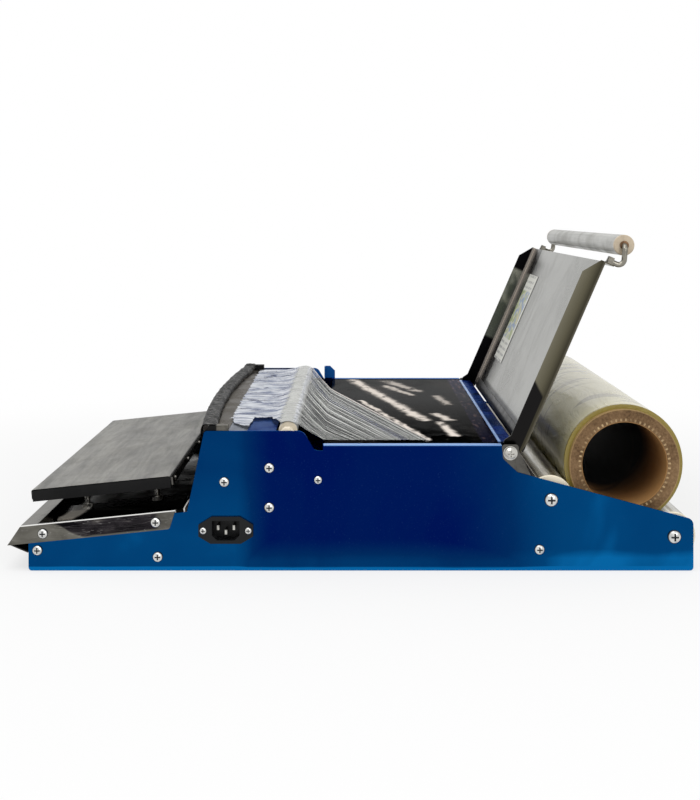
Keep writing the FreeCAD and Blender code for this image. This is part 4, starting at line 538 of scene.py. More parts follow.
def end_block():
    """Dark laminate of the cutter's end blocks, grey on the part behind the tape."""
    made = Finish("dark end block", 0.0, 0.5, Specular_IOR_Level=0.12)
    cloud = made.noise((300.0, 300.0, 300.0))
    grey = made.ramp(cloud, (0.3, (80, 78, 72)), (0.7, (112, 108, 100)))
    rear = spread(made.tree, made.axis("Y"), -0.1215, -0.1205)
    behind = times(made.tree, rear, spread(made.tree, made.axis("X"), 0.0, 0.01))
    made.colour(blend(made.tree, behind, (14, 14, 15), grey))
    made.gloss(cloud, 0.45, 0.6)
    return made.material


def tray_sheet():
    """Bright folded stainless of the tray, with painted reflections: a dark room in its flanges and well,
    pale floor on its nose band, a painted white highlight along its outer rim and a painted highlight at
    its rear corner by the tower.
    """
    made = Finish("bright stainless tray", 1.0, 0.16, Specular_Tint=DULL_EDGE)
    tree = made.tree
    marks = made.effect(MARKS, Smudge_size=34.0, Scratch_density=150.0)
    along = made.along(DECK_RIM, DECK_ALONG)
    above = made.along(DECK_RIM, DECK_ABOVE)
    cloud = made.noise((10.0, 40.0, 90.0), 3.0, 0.6, 0.5)
    wavy = plus(tree, above, made.swing(cloud, 0.004))
    # Painted reflection in the flanges: olive above a dark room
    room_foot = spread(tree, along, 0.022, 0.058, 0.0, -0.0150, smooth=True)
    inside = spread(tree, less(tree, wavy, room_foot), -0.0006, 0.0006)
    before = spread(tree, along, 0.1180, 0.1230, 1.0, 0.3, smooth=True)
    room = times(tree, inside, before)
    olive = made.ramp(cloud, (0.3, (84, 82, 76)), (0.7, (116, 114, 107)))
    dark = made.ramp(cloud, (0.35, (16, 15, 18)), (0.6, (46, 43, 46)), (0.8, (96, 92, 88)))
    flange = blend(tree, room, olive, dark)
    # Painted reflection in the well, with a painted highlight at the rear corner by the tower
    still = made.noise((1.5, 9.0, 9.0))
    calm = made.ramp(still, (0.36, (20, 20, 21)), (0.5, (44, 43, 42)), (0.66, (84, 82, 78)))
    at_tower = spread(tree, made.axis("Y"), -0.1600, -0.1550)
    painted_glint = times(tree, at_tower, spread(tree, made.axis("X"), 0.200, 0.212))
    well = blend(tree, painted_glint, calm, (226, 222, 216))
    # Painted reflection of the pale floor on the nose band
    band = made.ramp(cloud, (0.3, (136, 134, 128)), (0.7, (176, 174, 168)))
    in_well = spread(tree, maths(tree, "ABSOLUTE", made.axis("X")), 0.24235, 0.24245, 1.0, 0.0)
    low = spread(tree, above, -0.0011, -0.0009, 1.0, 0.0)
    top = blend(tree, spread(tree, along, 0.0146, 0.0150), band, well)
    # Painted highlight: a white line along the outer rim
    rim = window(tree, above, -0.0008, 0.0004, 0.0002)
    side = blend(tree, in_well, flange, well)
    sheet = blend(tree, low, top, side)
    outer = times(tree, rim, less(tree, 1.0, in_well))
    lined = blend(tree, outer, sheet, (244, 243, 240))
    scratches = times(tree, marks["Scratch"], spread(tree, in_well, 0.0, 1.0, 0.3, 0.08))
    made.colour(blend(tree, scratches, lined, (205, 202, 200)))
    inner_glint = times(tree, painted_glint, in_well)
    made.dull(inner_glint, 0.85)
    made.gloss(marks["Smudge"], 0.1, 0.24)
    return made.material


def rail_steel():
    """Rails under the hot plate, with painted reflections: a dark room drawn out along them, and a pale
    spot near the front.
    """
    made = Finish("shaded rail steel", 1.0, 0.22, Specular_Tint=DARK_EDGE)
    tree = made.tree
    streaks = made.noise((40.0, 7.0, 160.0), 3.0, 0.55)
    room = made.ramp(streaks, (0.36, (18, 18, 19)), (0.52, (44, 43, 42)), (0.68, (96, 94, 90)))
    # Painted reflection: a pale spot near the front, made matt
    slanted = less(tree, made.axis("Y"), made.part(made.axis("Z"), 1.6))
    painted_pale_patch = window(tree, plus(tree, slanted, made.part(streaks, 0.01)), -0.3200, -0.3080, 0.004)
    made.colour(blend(tree, painted_pale_patch, room, (198, 192, 182)))
    made.dull(painted_pale_patch, 0.75)
    made.gloss(streaks, 0.16, 0.3)
    return made.material


def tower_sheet():
    """Polished cover of the tower, with painted reflections: grey on top, and a dark room in its upright
    face.
    """
    made = Finish("shaded polished cover", 1.0, 0.2, Specular_Tint=TOWER_EDGE)
    tree = made.tree
    cloud = made.noise((14.0, 60.0, 90.0), 3.0, 0.6, 0.8)
    marks = made.effect(MARKS, Smudge_size=30.0)
    # Painted reflection: dark, middle and pale tones of the room in the upright face
    dark = (0.38, (26, 27, 26))
    middle = (0.56, (58, 58, 52))
    pale = (0.74, (150, 150, 142))
    face = made.ramp(cloud, dark, middle, pale)
    top = spread(tree, made.axis("Z"), 0.1205, 0.1215)
    made.colour(blend(tree, top, face, (124, 121, 115)))
    made.gloss(marks["Smudge"], 0.16, 0.34)
    return made.material


def striped_tube():
    """Polished steel tube with long dark and pale reflections."""
    made = Finish("polished roller tube", 0.6, 0.14, Specular_Tint=DULL_EDGE)
    stripes = made.noise((1.2, 95.0, 95.0), 2.0, 0.5)
    marks = made.effect(MARKS, Smudge_size=40.0)
    dark = (0.38, (120, 104, 72))
    middle = (0.49, (176, 166, 142))
    pale = (0.58, (252, 250, 240))
    made.colour(made.ramp(stripes, dark, middle, pale))
    made.gloss(marks["Smudge"], 0.1, 0.24)
    return made.material


def cut_metal(name, colour, roughness, edge=DULL_EDGE):
    """Plated or machined metal with dull spots and a fine cut."""
    made = Finish(name, 1.0, roughness, Specular_Tint=edge)
    marks = made.effect(MARKS, Smudge_size=160.0)
    made.colour(blend(made.tree, made.part(marks["Smudge"], 0.5), colour, shade(colour, 0.5)))
    made.gloss(marks["Smudge"], roughness * 0.7, roughness * 1.5)
    made.bump(made.effect(GRAIN, Stretch=(700.0, 700.0, 700.0))["Height"], 0.00005, 0.25)
    return made.material


def screw_steel(name, seat, height):
    """Zinc plated screws: painted bright on their tops, with painted shade round their rims and down in
    their crosses.
    """
    made = Finish(name, 1.0, 0.24)
    tree = made.tree
    # Painted light and shade by height: bright on the top, dark round the rim and in the cross
    out = less(tree, maths(tree, "ABSOLUTE", made.axis("X")), seat)
    painted_lit_crown = spread(tree, maths(tree, "DIVIDE", out, height), 0.46, 0.64)
    marks = made.effect(MARKS, Smudge_size=160.0)
    plated = blend(tree, made.part(marks["Smudge"], 0.4), (218, 218, 214), (140, 142, 146))
    made.colour(blend(tree, painted_lit_crown, (44, 46, 50), plated))
    made.gloss(marks["Smudge"], 0.16, 0.34)
    return made.material


def inlet_pin():
    """Nickel plated inlet pins, bright at their tips, with painted shade down in the recess."""
    made = Finish("nickel plated pins", 1.0, 0.3)
    # Painted shade: dark below the tips, down in the recess
    tip = spread(made.tree, made.axis("X"), 0.2408, 0.2416)
    spots = made.noise((400.0, 400.0, 400.0))
    plated = made.ramp(spots, (0.3, (150, 150, 146)), (0.7, (214, 212, 204)))
    made.colour(blend(made.tree, tip, (38, 38, 38), plated))
    made.gloss(spots, 0.22, 0.4)
    return made.material


def roller_grey():
    """The lid roller's grey plastic, with long wear streaks and a dark moulding line."""
    made = Finish("grey roller plastic", 0.0, 0.34)
    tree = made.tree
    grain = made.effect(GRAIN, Stretch=(4.0, 300.0, 300.0), Contrast=1.5)
    marks = made.effect(MARKS, Smudge_size=24.0)
    streaked = made.ramp(grain["Streaks"], (0.25, (114, 114, 108)), (0.75, (184, 184, 178)))
    height = made.along(ROLLER_AXIS, (0.0, 0.0, 1.0))
    front = spread(tree, made.axis("Y"), 0.2470, 0.2472, 1.0, 0.0)
    line = times(tree, window(tree, height, -0.0062, -0.0052, 0.0003), front)
    lined = blend(tree, made.part(line, 0.8), streaked, (60, 58, 54))
    made.colour(blend(tree, made.part(marks["Smudge"], 0.25), lined, (128, 126, 120)))
    made.gloss(marks["Smudge"], 0.28, 0.44)
    made.bump(grain["Height"], 0.00008, 0.4)
    return made.material


# Plastic, cloth and paper finishes

def moulded(name, colour, roughness, speck=0.3, coat=0.0, shine=0.5):
    """Moulded plastic with a light pebble and slow changes of shade."""
    made = Finish(name, 0.0, roughness, Coat_Weight=coat, Specular_IOR_Level=shine)
    marks = made.effect(MARKS, Smudge_size=60.0)
    made.colour(blend(made.tree, made.part(marks["Smudge"], speck), colour, shade(colour, 0.68)))
    made.gloss(marks["Smudge"], roughness * 0.85, roughness * 1.2)
    made.bump(made.noise((1400.0, 1400.0, 1400.0)), 0.00005, 0.3)
    return made.material


def roller_white():
    """White roller plastic with long grey wear streaks."""
    made = Finish("white roller plastic", 0.0, 0.36)
    grain = made.effect(GRAIN, Stretch=(5.0, 320.0, 320.0), Contrast=1.6)
    marks = made.effect(MARKS, Smudge_size=24.0)
    streaked = made.ramp(grain["Streaks"], (0.25, (158, 158, 154)), (0.75, (222, 222, 217)))
    made.colour(blend(made.tree, made.part(marks["Smudge"], 0.2), streaked, (150, 148, 142)))
    made.gloss(marks["Smudge"], 0.3, 0.46)
    made.bump(grain["Height"], 0.00008, 0.4)
    return made.material


def coated_cloth():
    """Glass cloth with a slick near-black coating: a fine square weave, and a warm grey sheen painted into
    the top's colour.
    """
    made = Finish("coated glass cloth", 0.0, 0.46, Sheen_Weight=0.1, Specular_IOR_Level=0.36)
    tree = made.tree
    threads = apart(tree, stretched(tree, made.place, (5200.0, 5200.0, 5200.0)))
    warp = maths(tree, "SINE", threads["X"])
    weft = maths(tree, "SINE", threads["Y"])
    marks = made.effect(MARKS, Smudge_size=30.0)
    above = made.along(DECK_RIM, DECK_ABOVE)
    # Painted sheen: the top's warm grey streaks stand in for sheen; the turned edges stay near-black
    streaks = made.noise((9.0, 70.0, 70.0), 5.0, 0.7, 0.4)
    worn = made.ramp(streaks, (0.34, (64, 63, 58)), (0.66, (126, 124, 117)))
    scratched = blend(tree, made.part(marks["Scratch"], 0.2), worn, (110, 108, 104))
    turned = spread(tree, above, 0.0226, 0.0233, 1.0, 0.0)
    made.colour(blend(tree, turned, scratched, (7, 7, 8)))
    made.gloss(marks["Smudge"], 0.43, 0.51)
    made.bump(times(tree, warp, weft), 0.00004, 0.35)
    return made.material


def black_sleeve():
    """Slick black cutter tape, crinkled, with painted grey highlights on its ridges."""
    made = Finish("black cutter tape", 0.0, 0.5, Specular_IOR_Level=0.12)
    marks = made.effect(MARKS, Smudge_size=70.0)
    crinkle = made.noise((150.0, 320.0, 320.0), 4.0, 0.62, 0.8)
    # Painted highlight: grey on the ridges of the crinkle
    worn = spread(made.tree, crinkle, 0.53, 0.66, 0.0, 0.8)
    made.colour(blend(made.tree, worn, (5, 5, 6), (112, 110, 106)))
    made.gloss(marks["Smudge"], 0.4, 0.6)
    made.bump(crinkle, 0.0016, 1.0)
    return made.material


def board_colour(made, radius, sides):
    """The tube's end: brown pulp in layers, a painted highlight along its outer rim, and a ring of pale
    pressed notches round the bore.
    """
    tree = made.tree
    pulp = made.noise((420.0, 420.0, 420.0), 3.0, 0.7)
    cloud = made.noise((40.0, 40.0, 40.0), 3.0, 0.6)
    tone = plus(tree, made.part(pulp, 0.5), made.part(cloud, 0.5))
    dark = (0.34, (74, 54, 34))
    middle = (0.5, (116, 90, 62))
    pale = (0.66, (146, 118, 86))
    board = made.ramp(tone, dark, middle, pale)
    layers = window(tree, maths(tree, "SINE", made.part(radius, 7000.0)), 0.6, 1.0, 0.2)
    edge = blend(tree, made.part(layers, 0.14), board, (92, 68, 42))
    # Painted highlight along the outer rim
    rim = spread(tree, radius, 0.0486, 0.0494)
    painted_light = blend(tree, made.part(rim, 0.45), edge, (204, 172, 116))
    turn = made.part(maths(tree, "ARCTAN2", sides["Z"], sides["Y"]), 58.0)
    teeth = spread(tree, maths(tree, "SINE", turn), 0.1, 0.7)
    ring = window(tree, radius, 0.0394, 0.0412, 0.0005)
    broken = spread(tree, made.noise((70.0, 70.0, 70.0)), 0.36, 0.56)
    notches = times(tree, times(tree, teeth, ring), broken)
    made.bump(less(tree, pulp, made.part(notches, 1.4)), 0.0005, 0.5)
    return blend(tree, made.part(notches, 0.75), painted_light, (206, 178, 134))


def cardboard():
    """Brown wound tube board, with painted shade in the bore, deepening from its mouth inwards."""
    made = Finish("brown tube board", 0.0, 0.84, Specular_IOR_Level=0.25)
    tree = made.tree
    flat = stretched(tree, made.beyond(ROLL_AXIS), (0.0, 1.0, 1.0))
    radius = vector_maths(tree, "LENGTH", flat).outputs["Value"]
    sides = apart(tree, flat)
    board = board_colour(made, radius, sides)
    # Painted shade in the bore: dark deep inside, brown towards the mouth
    depth = maths(tree, "ABSOLUTE", made.axis("X"))
    rough = made.part(less(tree, made.noise((60.0, 30.0, 30.0), 3.0, 0.6), 0.5), 0.024)
    inward = plus(tree, depth, rough)
    deep = (0.0, (12, 9, 6))
    brown = (0.55, (138, 99, 57))
    mouth = (1.0, (172, 130, 80))
    bore_wall_painted_shade = made.ramp(spread(tree, inward, 0.120, 0.2295), deep, brown, mouth)
    turn = maths(tree, "ARCTAN2", sides["Z"], sides["Y"])
    spiral = plus(tree, turn, made.part(made.axis("X"), 21.0))
    seam = spread(tree, maths(tree, "SINE", spiral), 0.99, 0.998, 0.0, 0.5)
    bore = blend(tree, seam, bore_wall_painted_shade, (40, 28, 16))
    in_bore = spread(tree, radius, 0.0383, 0.0385, 1.0, 0.0)
    made.colour(blend(tree, in_bore, board, bore))
    return made.material


def wound_film():
    """Many turns of clear film: glossy straw with slanted wrinkles, painted lighter towards the roll's
    upper front and darker below, and an olive rim at each end.
    """
    coat = {"Coat_Weight": 0.3, "Coat_Roughness": 0.06}
    made = Finish("wound straw film", 0.0, 0.3, Specular_IOR_Level=0.25, **coat)
    tree = made.tree
    crease = made.noise((6.0, 34.0, 34.0), 5.0, 0.66, 1.2)
    marks = made.noise((46.0, 14.0, 14.0), 2.0, 0.5, 0.8)
    sides = apart(tree, made.beyond(ROLL_AXIS))
    # Painted light and shade: lighter towards the upper front of the roll, darker below
    lean = plus(tree, made.part(sides["Y"], -0.62), made.part(sides["Z"], 0.78))
    height = spread(tree, lean, -0.045, 0.050)
    tone = plus(tree, height, made.swing(crease, 0.9), clamp=True)
    dark = (0.0, (60, 52, 30))
    low = (0.22, (118, 106, 62))
    middle = (0.45, (170, 158, 108))
    pale = (0.8, (212, 204, 160))
    straw = made.ramp(tone, dark, low, middle, pale)
    face = blend(tree, spread(tree, marks, 0.575, 0.65, 0.0, 0.6), straw, (108, 100, 84))
    side = maths(tree, "ABSOLUTE", made.axis("X"))
    rim = spread(tree, side, 0.2170, 0.2200)
    made.colour(blend(tree, rim, face, (146, 130, 62)))
    made.gloss(crease, 0.16, 0.34)
    made.bump(crease, 0.0024, 0.8)
    return made.material


def loose_film():
    """One thin layer of crumpled clear film: milky ridges, painted blue-grey shade in the clearer gaps
    between them, and a painted highlight on the fan's outermost strands.
    """
    made = Finish("loose clear film", 0.0, 0.26, Coat_Weight=0.3, Coat_Roughness=0.1)
    tree = made.tree
    strands = add(tree, "ShaderNodeUVMap", uv_map="strands").outputs["UV"]
    run = apart(tree, strands)
    back = made.axis("Y")
    fan = spread(tree, back, -0.0530, -0.0490)
    fine = speckle(tree, stretched(tree, strands, (120.0, 0.9, 1.0)), 1.0, 3.0, 0.75, 0.06)
    broad = speckle(tree, stretched(tree, strands, (26.0, 3.2, 1.0)), 1.0, 3.0, 0.6, 0.5)
    pleats = speckle(tree, stretched(tree, strands, (58.0, 4.0, 1.0)), 1.0, 3.0, 0.6, 0.4)
    ridge = spread(tree, pleats, 0.36, 0.62, smooth=True)
    # Painted shade: blue-grey in the gaps between pleats
    gap = spread(tree, broad, 0.33, 0.40, 1.0, 0.0, smooth=True)
    cool = blend(tree, ridge, (114, 125, 156), (206, 210, 217))
    hollow = blend(tree, gap, cool, (74, 86, 128))
    fringe = spread(tree, run["X"], 0.004, 0.022, 1.0, 0.0)
    torn = spread(tree, made.noise((900.0, 300.0, 300.0)), 0.5, 0.56)
    edged = blend(tree, times(tree, fringe, torn), hollow, (250, 251, 253))
    mottle = made.noise((110.0, 90.0, 90.0), 3.0, 0.6)
    tight = made.ramp(mottle, (0.3, (112, 114, 107)), (0.7, (172, 174, 166)))
    uneven = plus(tree, back, made.swing(pleats, 0.012))
    roller = window(tree, uneven, -0.0655, -0.0550, 0.0030)
    over_tower = blend(tree, roller, edged, tight)
    line = spread(tree, fine, 0.47, 0.60, smooth=True)
    tinted = window(tree, run["X"], 0.72, 0.80, 0.01)
    valley = blend(tree, tinted, (46, 50, 49), (32, 50, 108))
    # Painted highlight on the fan's outermost strands
    painted_edge_highlight = spread(tree, run["X"], 0.965, 0.985, 0.0, 0.8)
    lines = blend(tree, line, valley, (214, 217, 210))
    drawn = blend(tree, painted_edge_highlight, lines, (236, 222, 210))
    made.colour(blend(tree, fan, over_tower, drawn))
    cover = spread(tree, ridge, 0.0, 1.0, 0.68, 0.96)
    opened = less(tree, cover, made.part(gap, 0.4))
    closed = most(tree, opened, made.part(roller, 0.94))
    thin = most(tree, spread(tree, line, 0.0, 1.0, 0.26, 0.9), painted_edge_highlight)
    both = times(tree, thin, fan)
    rest = times(tree, closed, less(tree, 1.0, fan))
    join(tree, made.shader["Alpha"], plus(tree, both, rest))
    made.bump(plus(tree, made.part(fine, 0.5), made.part(pleats, 0.5)), 0.0010, 0.5)
    return made.material


def guide_label():
    """Bare guide label: pale ground, a soft picture field in its middle, plain grey bars, and a painted
    shadow line along its near edge.
    """
    made = Finish("plain guide label", 0.0, 0.4, Coat_Weight=0.1)
    tree = made.tree
    along = made.along(LID_AXIS, LID_ALONG)
    tone = made.noise((60.0, 75.0, 75.0), 1.0, 0.4)
    leaf = (0.36, (132, 146, 84))
    ground = (0.46, (196, 196, 168))
    sky = (0.56, (84, 122, 172))
    sand = (0.66, (188, 180, 120))
    picture = made.ramp(tone, leaf, ground, sky, sand)
    bars = spread(tree, maths(tree, "SINE", made.part(along, 900.0)), 0.2, 0.5)
    ragged = spread(tree, made.noise((180.0, 12.0, 12.0)), 0.42, 0.5)
    rows = times(tree, bars, ragged)
    paper = blend(tree, made.part(rows, 0.7), (206, 206, 196), (78, 80, 84))
    face = blend(tree, window(tree, along, 0.078, 0.136, 0.002), paper, picture)
    pale = window(tree, made.axis("X"), -0.1150, -0.1085, 0.0004)
    bordered = blend(tree, pale, face, (214, 214, 202))
    # Painted shadow: a dark line along the label's near edge
    made.colour(blend(tree, spread(tree, made.axis("X"), -0.1080, -0.1075), bordered, (36, 36, 34)))
    return made.material


FINISHES = {
    "blue_paint": blue_enamel(),
    "polished_steel": tower_sheet(),
    "bright_steel": cut_metal("bright zinc steel", (196, 194, 188), 0.24),
    "plate_aluminium": cut_metal("milled aluminium", (186, 188, 190), 0.4),
    "heater_mica": moulded("flaked mica board", (196, 178, 148), 0.5, 0.8),
    "black_cloth": coated_cloth(),
    "insulator": moulded("dark laminate", (70, 58, 50), 0.4),
    "roller_plastic": roller_white(),
    "cream_plastic": moulded("cream moulded plastic", (240, 227, 202), 0.42),
    "cardboard": cardboard(),
    "wound_film": wound_film(),
    "loose_film": loose_film(),
    "sticker": guide_label(),
    "black_plastic": moulded("black moulded plastic", (17, 18, 20), 0.36, shine=0.22),
    "brass": inlet_pin(),
    "lamp_red": moulded("red lamp lens", (186, 24, 20), 0.18, 0.1, 0.5),
    "dial_grey": moulded("pale grey dial sheet", (196, 198, 200), 0.4),
    "transformer_iron": cut_metal("lacquered core iron", (96, 92, 88), 0.5),
}
# A darker copy of the bright steel: painted shade on the hinge brackets and cloth clamp
PAINTED_SHADE_STEEL = cut_metal("bright steel in painted shade", (92, 90, 86), 0.24, DARK_EDGE)
# A darker copy of the bright steel for the bail wire and its clips: painted shade
PAINTED_SHADE_BAIL_STEEL = cut_metal("bail wire in painted shade", (140, 136, 126), 0.3)
ROLLER_TUBE = striped_tube()
BLUE_TRIM = blue_trim()
PANEL_SCREW = screw_steel("panel screw steel", PANEL_FACE, 0.0028)
# A lighter copy of the cream plastic for the rear roller caps: painted light
PAINTED_LIGHT_END_CAP = moulded("cream plastic painted lighter", (250, 240, 216), 0.42, 0.2)
BROWN_CLIP = cut_metal("brown clip steel", (112, 86, 64), 0.4)
COATED_PLATE = moulded("black coated plate", (12, 12, 13), 0.5, shine=0.2)
CUTTER_TAPE = black_sleeve()
OWN_FINISH = {
    "table_top": table_sheet(),
    "front_tray": tray_sheet(),
    "lid_roller_tube": roller_grey(),
    "lid_bail": PAINTED_SHADE_BAIL_STEEL,
    "bail_clips": PAINTED_SHADE_BAIL_STEEL,
    "rear_roller_a_tube": ROLLER_TUBE,
    "rear_roller_b_tube": ROLLER_TUBE,
    "cutter_end_blocks": end_block(),
    "lid_plate": lid_sheet(),
    "tower_rear_cover": BLUE_TRIM,
    "rear_cross_panel": BLUE_TRIM,
    "panel_screws": PANEL_SCREW,
    "table_screws": PANEL_SCREW,
    "tray_screws": screw_steel("tray screw steel", 0.2437, 0.0028),
    "roller_screws": screw_steel("end screw steel", PANEL_FACE, 0.0036),
    "power_inlet_screws": screw_steel("inlet screw steel", 0.2451, 0.0020),
    "rear_roller_a_caps": PAINTED_LIGHT_END_CAP,
    "rear_roller_b_caps": PAINTED_LIGHT_END_CAP,
    "lid_roller_caps": moulded("worn cream plastic", (196, 180, 156), 0.42, 0.6),
    "hinge_brackets": PAINTED_SHADE_STEEL,
    "plate_rails": rail_steel(),
    "cloth_clamp": PAINTED_SHADE_STEEL,
    "hot_plate": COATED_PLATE,
    "plate_bottom_cover": COATED_PLATE,
}


def dress(piece, material):
    """Puts one finish on the whole piece."""
    piece.data.materials.clear()
    piece.data.materials.append(material)


def dress_machine():
    """Gives every node of the frame the finish of its material slot, or its own."""
    for entry in frame["record"]["subparts"]:
        name = entry["node"]
        dress(NODES[name], OWN_FINISH.get(name, FINISHES[entry["material_slot"]]))


# Pieces made here

def rumple(across, along, layer):
    """Smooth noise, from about -1 to 1."""
    return noise.noise(Vector((across, along, layer)))


def between(course, run):
    """The height of a course of (place, height) at one place, read between its stops."""
    if run <= course[0][0]:
        return course[0][1]
    for (low, start), (high, end) in zip(course, course[1:]):
        if run <= high:
            share = (run - low) / (high - low)
            return start + (end - start) * share
    return course[-1][1]


def put_in_scene(name, data):
    """A new object in the scene that holds this data."""
    made = bpy.data.objects.new(name, data)
    bpy.context.scene.collection.objects.link(made)
    return made


def soften(mesh, edges):
    """Rounds those edges of a small piece."""
    bmesh.ops.bevel(mesh, geom=edges, offset=0.0003, segments=2, profile=0.5, affect="EDGES", material=-1)


def finished(name, mesh, body, slot, material, *replaced):
    """An object from a bmesh, dressed and riding on its body."""
    bmesh.ops.recalc_face_normals(mesh, faces=mesh.faces)
    for face in mesh.faces:
        face.smooth = True
    data = bpy.data.meshes.new(name)
    mesh.to_mesh(data)
    mesh.free()
    piece = put_in_scene(name, data)
    dress(piece, material)
    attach(piece, body)
    if replaced:
        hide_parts(*replaced)
    return piece


def open_cloth(across, along):
    """A flat unit grid whose strands run along it, with their map for the pattern."""
    mesh = bmesh.new()
    bmesh.ops.create_grid(mesh, x_segments=across, y_segments=along, size=0.5)
    bmesh.ops.translate(mesh, verts=mesh.verts, vec=(0.5, 0.5, 0.0))
    strands = mesh.loops.layers.uv.new("strands")
    for face in mesh.faces:
        for corner in face.loops:
            corner[strands].uv = corner.vert.co.xy
    return mesh


# The film's heights, by the distance behind the panels' front edge
FILM_COURSE = [
    (0.168, 0.1236), (0.206, 0.1238), (0.214, 0.1250), (0.221, 0.1276), (0.226, 0.1288), (0.230, 0.1291),
    (0.235, 0.1280), (0.240, 0.1250), (0.250, 0.1182), (0.261, 0.1124), (0.268, 0.1119), (0.400, 0.1119),
]
# How freely the pleats stand up there: least over the roller and where the closed lid ends
FILM_LIFT = [
    (0.168, 1.0), (0.210, 1.0), (0.224, 0.25), (0.236, 0.12), (0.244, 0.12), (0.252, 0.6), (0.262, 0.4),
]
# How far to the right the film still is there
FILM_TEAR = [
    (0.168, 0.1640), (0.175, 0.1700), (0.178, 0.1960), (0.189, 0.2160), (0.1935, 0.2180), (0.1950, 0.1690),
    (0.2110, 0.1690), (0.2190, 0.2000), (0.2240, 0.2300), (0.4000, 0.2300),
]
FILM_SIDE = 0.2205
FILM_FRONT = 0.1735
FILM_RIDGE = 0.238
FAN_AT_RIGHT = 0.0240
FAN_MORE_AT_LEFT = 0.0950


def film_point(strand, run):
    """A point of the loose film: strand 0 at the right side to 1 at the left, run 0 to 1 to the rear."""
    if run < 0.5:
        torn = rumple(strand * 46.0, 0.0, 5.0) * 0.0030 + rumple(strand * 190.0, 0.0, 9.0) * 0.0022
        front = FILM_FRONT + torn
        back = front + (FILM_RIDGE - front) * run * 2.0
        across = FILM_SIDE - 2.0 * FILM_SIDE * strand
        course = run
    else:
        share = (run - 0.5) * 2.0
        across = FILM_SIDE - 2.0 * FILM_SIDE * strand * (1.0 - share)
        back = FILM_RIDGE + (FAN_AT_RIGHT + FAN_MORE_AT_LEFT * strand) * share
        course = 0.5 + share * 0.12
    lift = between(FILM_LIFT, back)
    pleat = abs(rumple(strand * 58.0, course * 3.0, 3.0)) * 0.0024
    fine = abs(rumple(strand * 170.0, course * 3.0, 7.0)) * 0.0009
    height = between(FILM_COURSE, back) + (pleat + fine) * lift
    return Vector((across, back + PANEL_FRONT, height))


def torn_away(point):
    """Whether the film is missing there: its near corner over the tower is torn off, but for a flap."""
    back = point.y - PANEL_FRONT
    ragged = rumple(back * 260.0, 0.0, 2.0) * 0.0030 + rumple(back * 800.0, 0.0, 4.0) * 0.0016
    return point.x > between(FILM_TEAR, back) + ragged


def lay_film():
    """The loose film: pleated over the tower, tight on its roller, and drawn out to one side."""
    mesh = open_cloth(360, 130)
    for point in mesh.verts:
        point.co = film_point(point.co.x, point.co.y)
    gone = [face for face in mesh.faces if torn_away(face.calc_center_median())]
    bmesh.ops.delete(mesh, geom=gone, context="FACES")
    film = finished("loose_film", mesh, "frame", "loose_film", FINISHES["loose_film"], "film_web")


def along_section(section, length):
    """The place on a cloth's section at a length along it."""
    for (low, start), (high, end) in zip(section, section[1:]):
        if length <= high + 1e-9:
            break
    share = (length - low) / (high - low)
    return start[0] + (end[0] - start[0]) * share, start[1] + (end[1] - start[1]) * share


# The bowed cutter bar: half its length, its bow, and its middle behind the panels' front edge
BAR_HALF = 0.231
BAR_BOW = 0.0096
BAR_MIDDLE = 0.1441


def bow_back(across):
    """How far behind the panels' front edge the bowed cutter bar's front lies."""
    radius = (BAR_HALF ** 2 + BAR_BOW ** 2) / (2.0 * BAR_BOW)
    return BAR_MIDDLE + radius - math.sqrt(radius ** 2 - across ** 2)


# The tape's section: the length along it, then how far behind the bar's front and how high
TAPE_SECTION = [
    (0.0, (-0.0007, 0.1161)), (0.0090, (-0.0008, 0.1252)), (0.0115, (0.0004, 0.1275)),
    (0.0135, (0.0018, 0.1281)), (0.0225, (0.0108, 0.1281)), (0.0245, (0.0126, 0.1272)),
    (0.0270, (0.0132, 0.1250)), (0.0292, (0.0132, 0.1231)),
]
TAPE_LENGTH = 0.4810
OVER_END_BLOCK = [(0.2270, 0.0), (0.2308, 0.0012)]


def tape_point(strand, run):
    """A point of the cutter's tape, from its hanging front edge over the bar and its end blocks."""
    across = (strand - 0.5) * TAPE_LENGTH
    length = run * TAPE_SECTION[-1][0]
    back, height = along_section(TAPE_SECTION, length)
    crinkle = abs(rumple(across * 90.0, length * 260.0, 1.0)) * 0.0008
    wave = rumple(across * 30.0, length * 60.0, 4.0) * 0.0008 * max(0.0, 1.0 - length / 0.012)
    over_block = between(OVER_END_BLOCK, abs(across))
    front = bow_back(min(abs(across), BAR_HALF)) + PANEL_FRONT
    lift = over_block if height > 0.122 else 0.0
    return Vector((across, front + back - crinkle - abs(wave), height + crinkle + lift))


def wrap_cutter():
    """Black tape wrapped over the bowed cutter bar."""
    mesh = open_cloth(300, 22)
    for point in mesh.verts:
        point.co = tape_point(point.co.x, point.co.y)
    tape = finished("cutter_tape", mesh, "frame", "black_cloth", CUTTER_TAPE, "cutter_sleeve")


def deck_point(across, along, above):
    """A point of the sloping deck, in the machine's frame."""
    return DECK_RIM + Vector((across, 0.0, 0.0)) + DECK_ALONG * along + DECK_ABOVE * above


# The cloth's section: the length along it, then its place along and above the deck
CLOTH_SECTION = [
    (0.0, (0.0022, 0.0145)), (0.0075, (0.0022, 0.0220)), (0.0088, (0.0026, 0.0230)),
    (0.0102, (0.0038, 0.0234)), (0.1348, (0.1284, 0.0234)), (0.1362, (0.1297, 0.0230)),
    (0.1375, (0.1301, 0.0220)), (0.1410, (0.1301, 0.0188)),
]
CLOTH_WIDTH = 0.4096


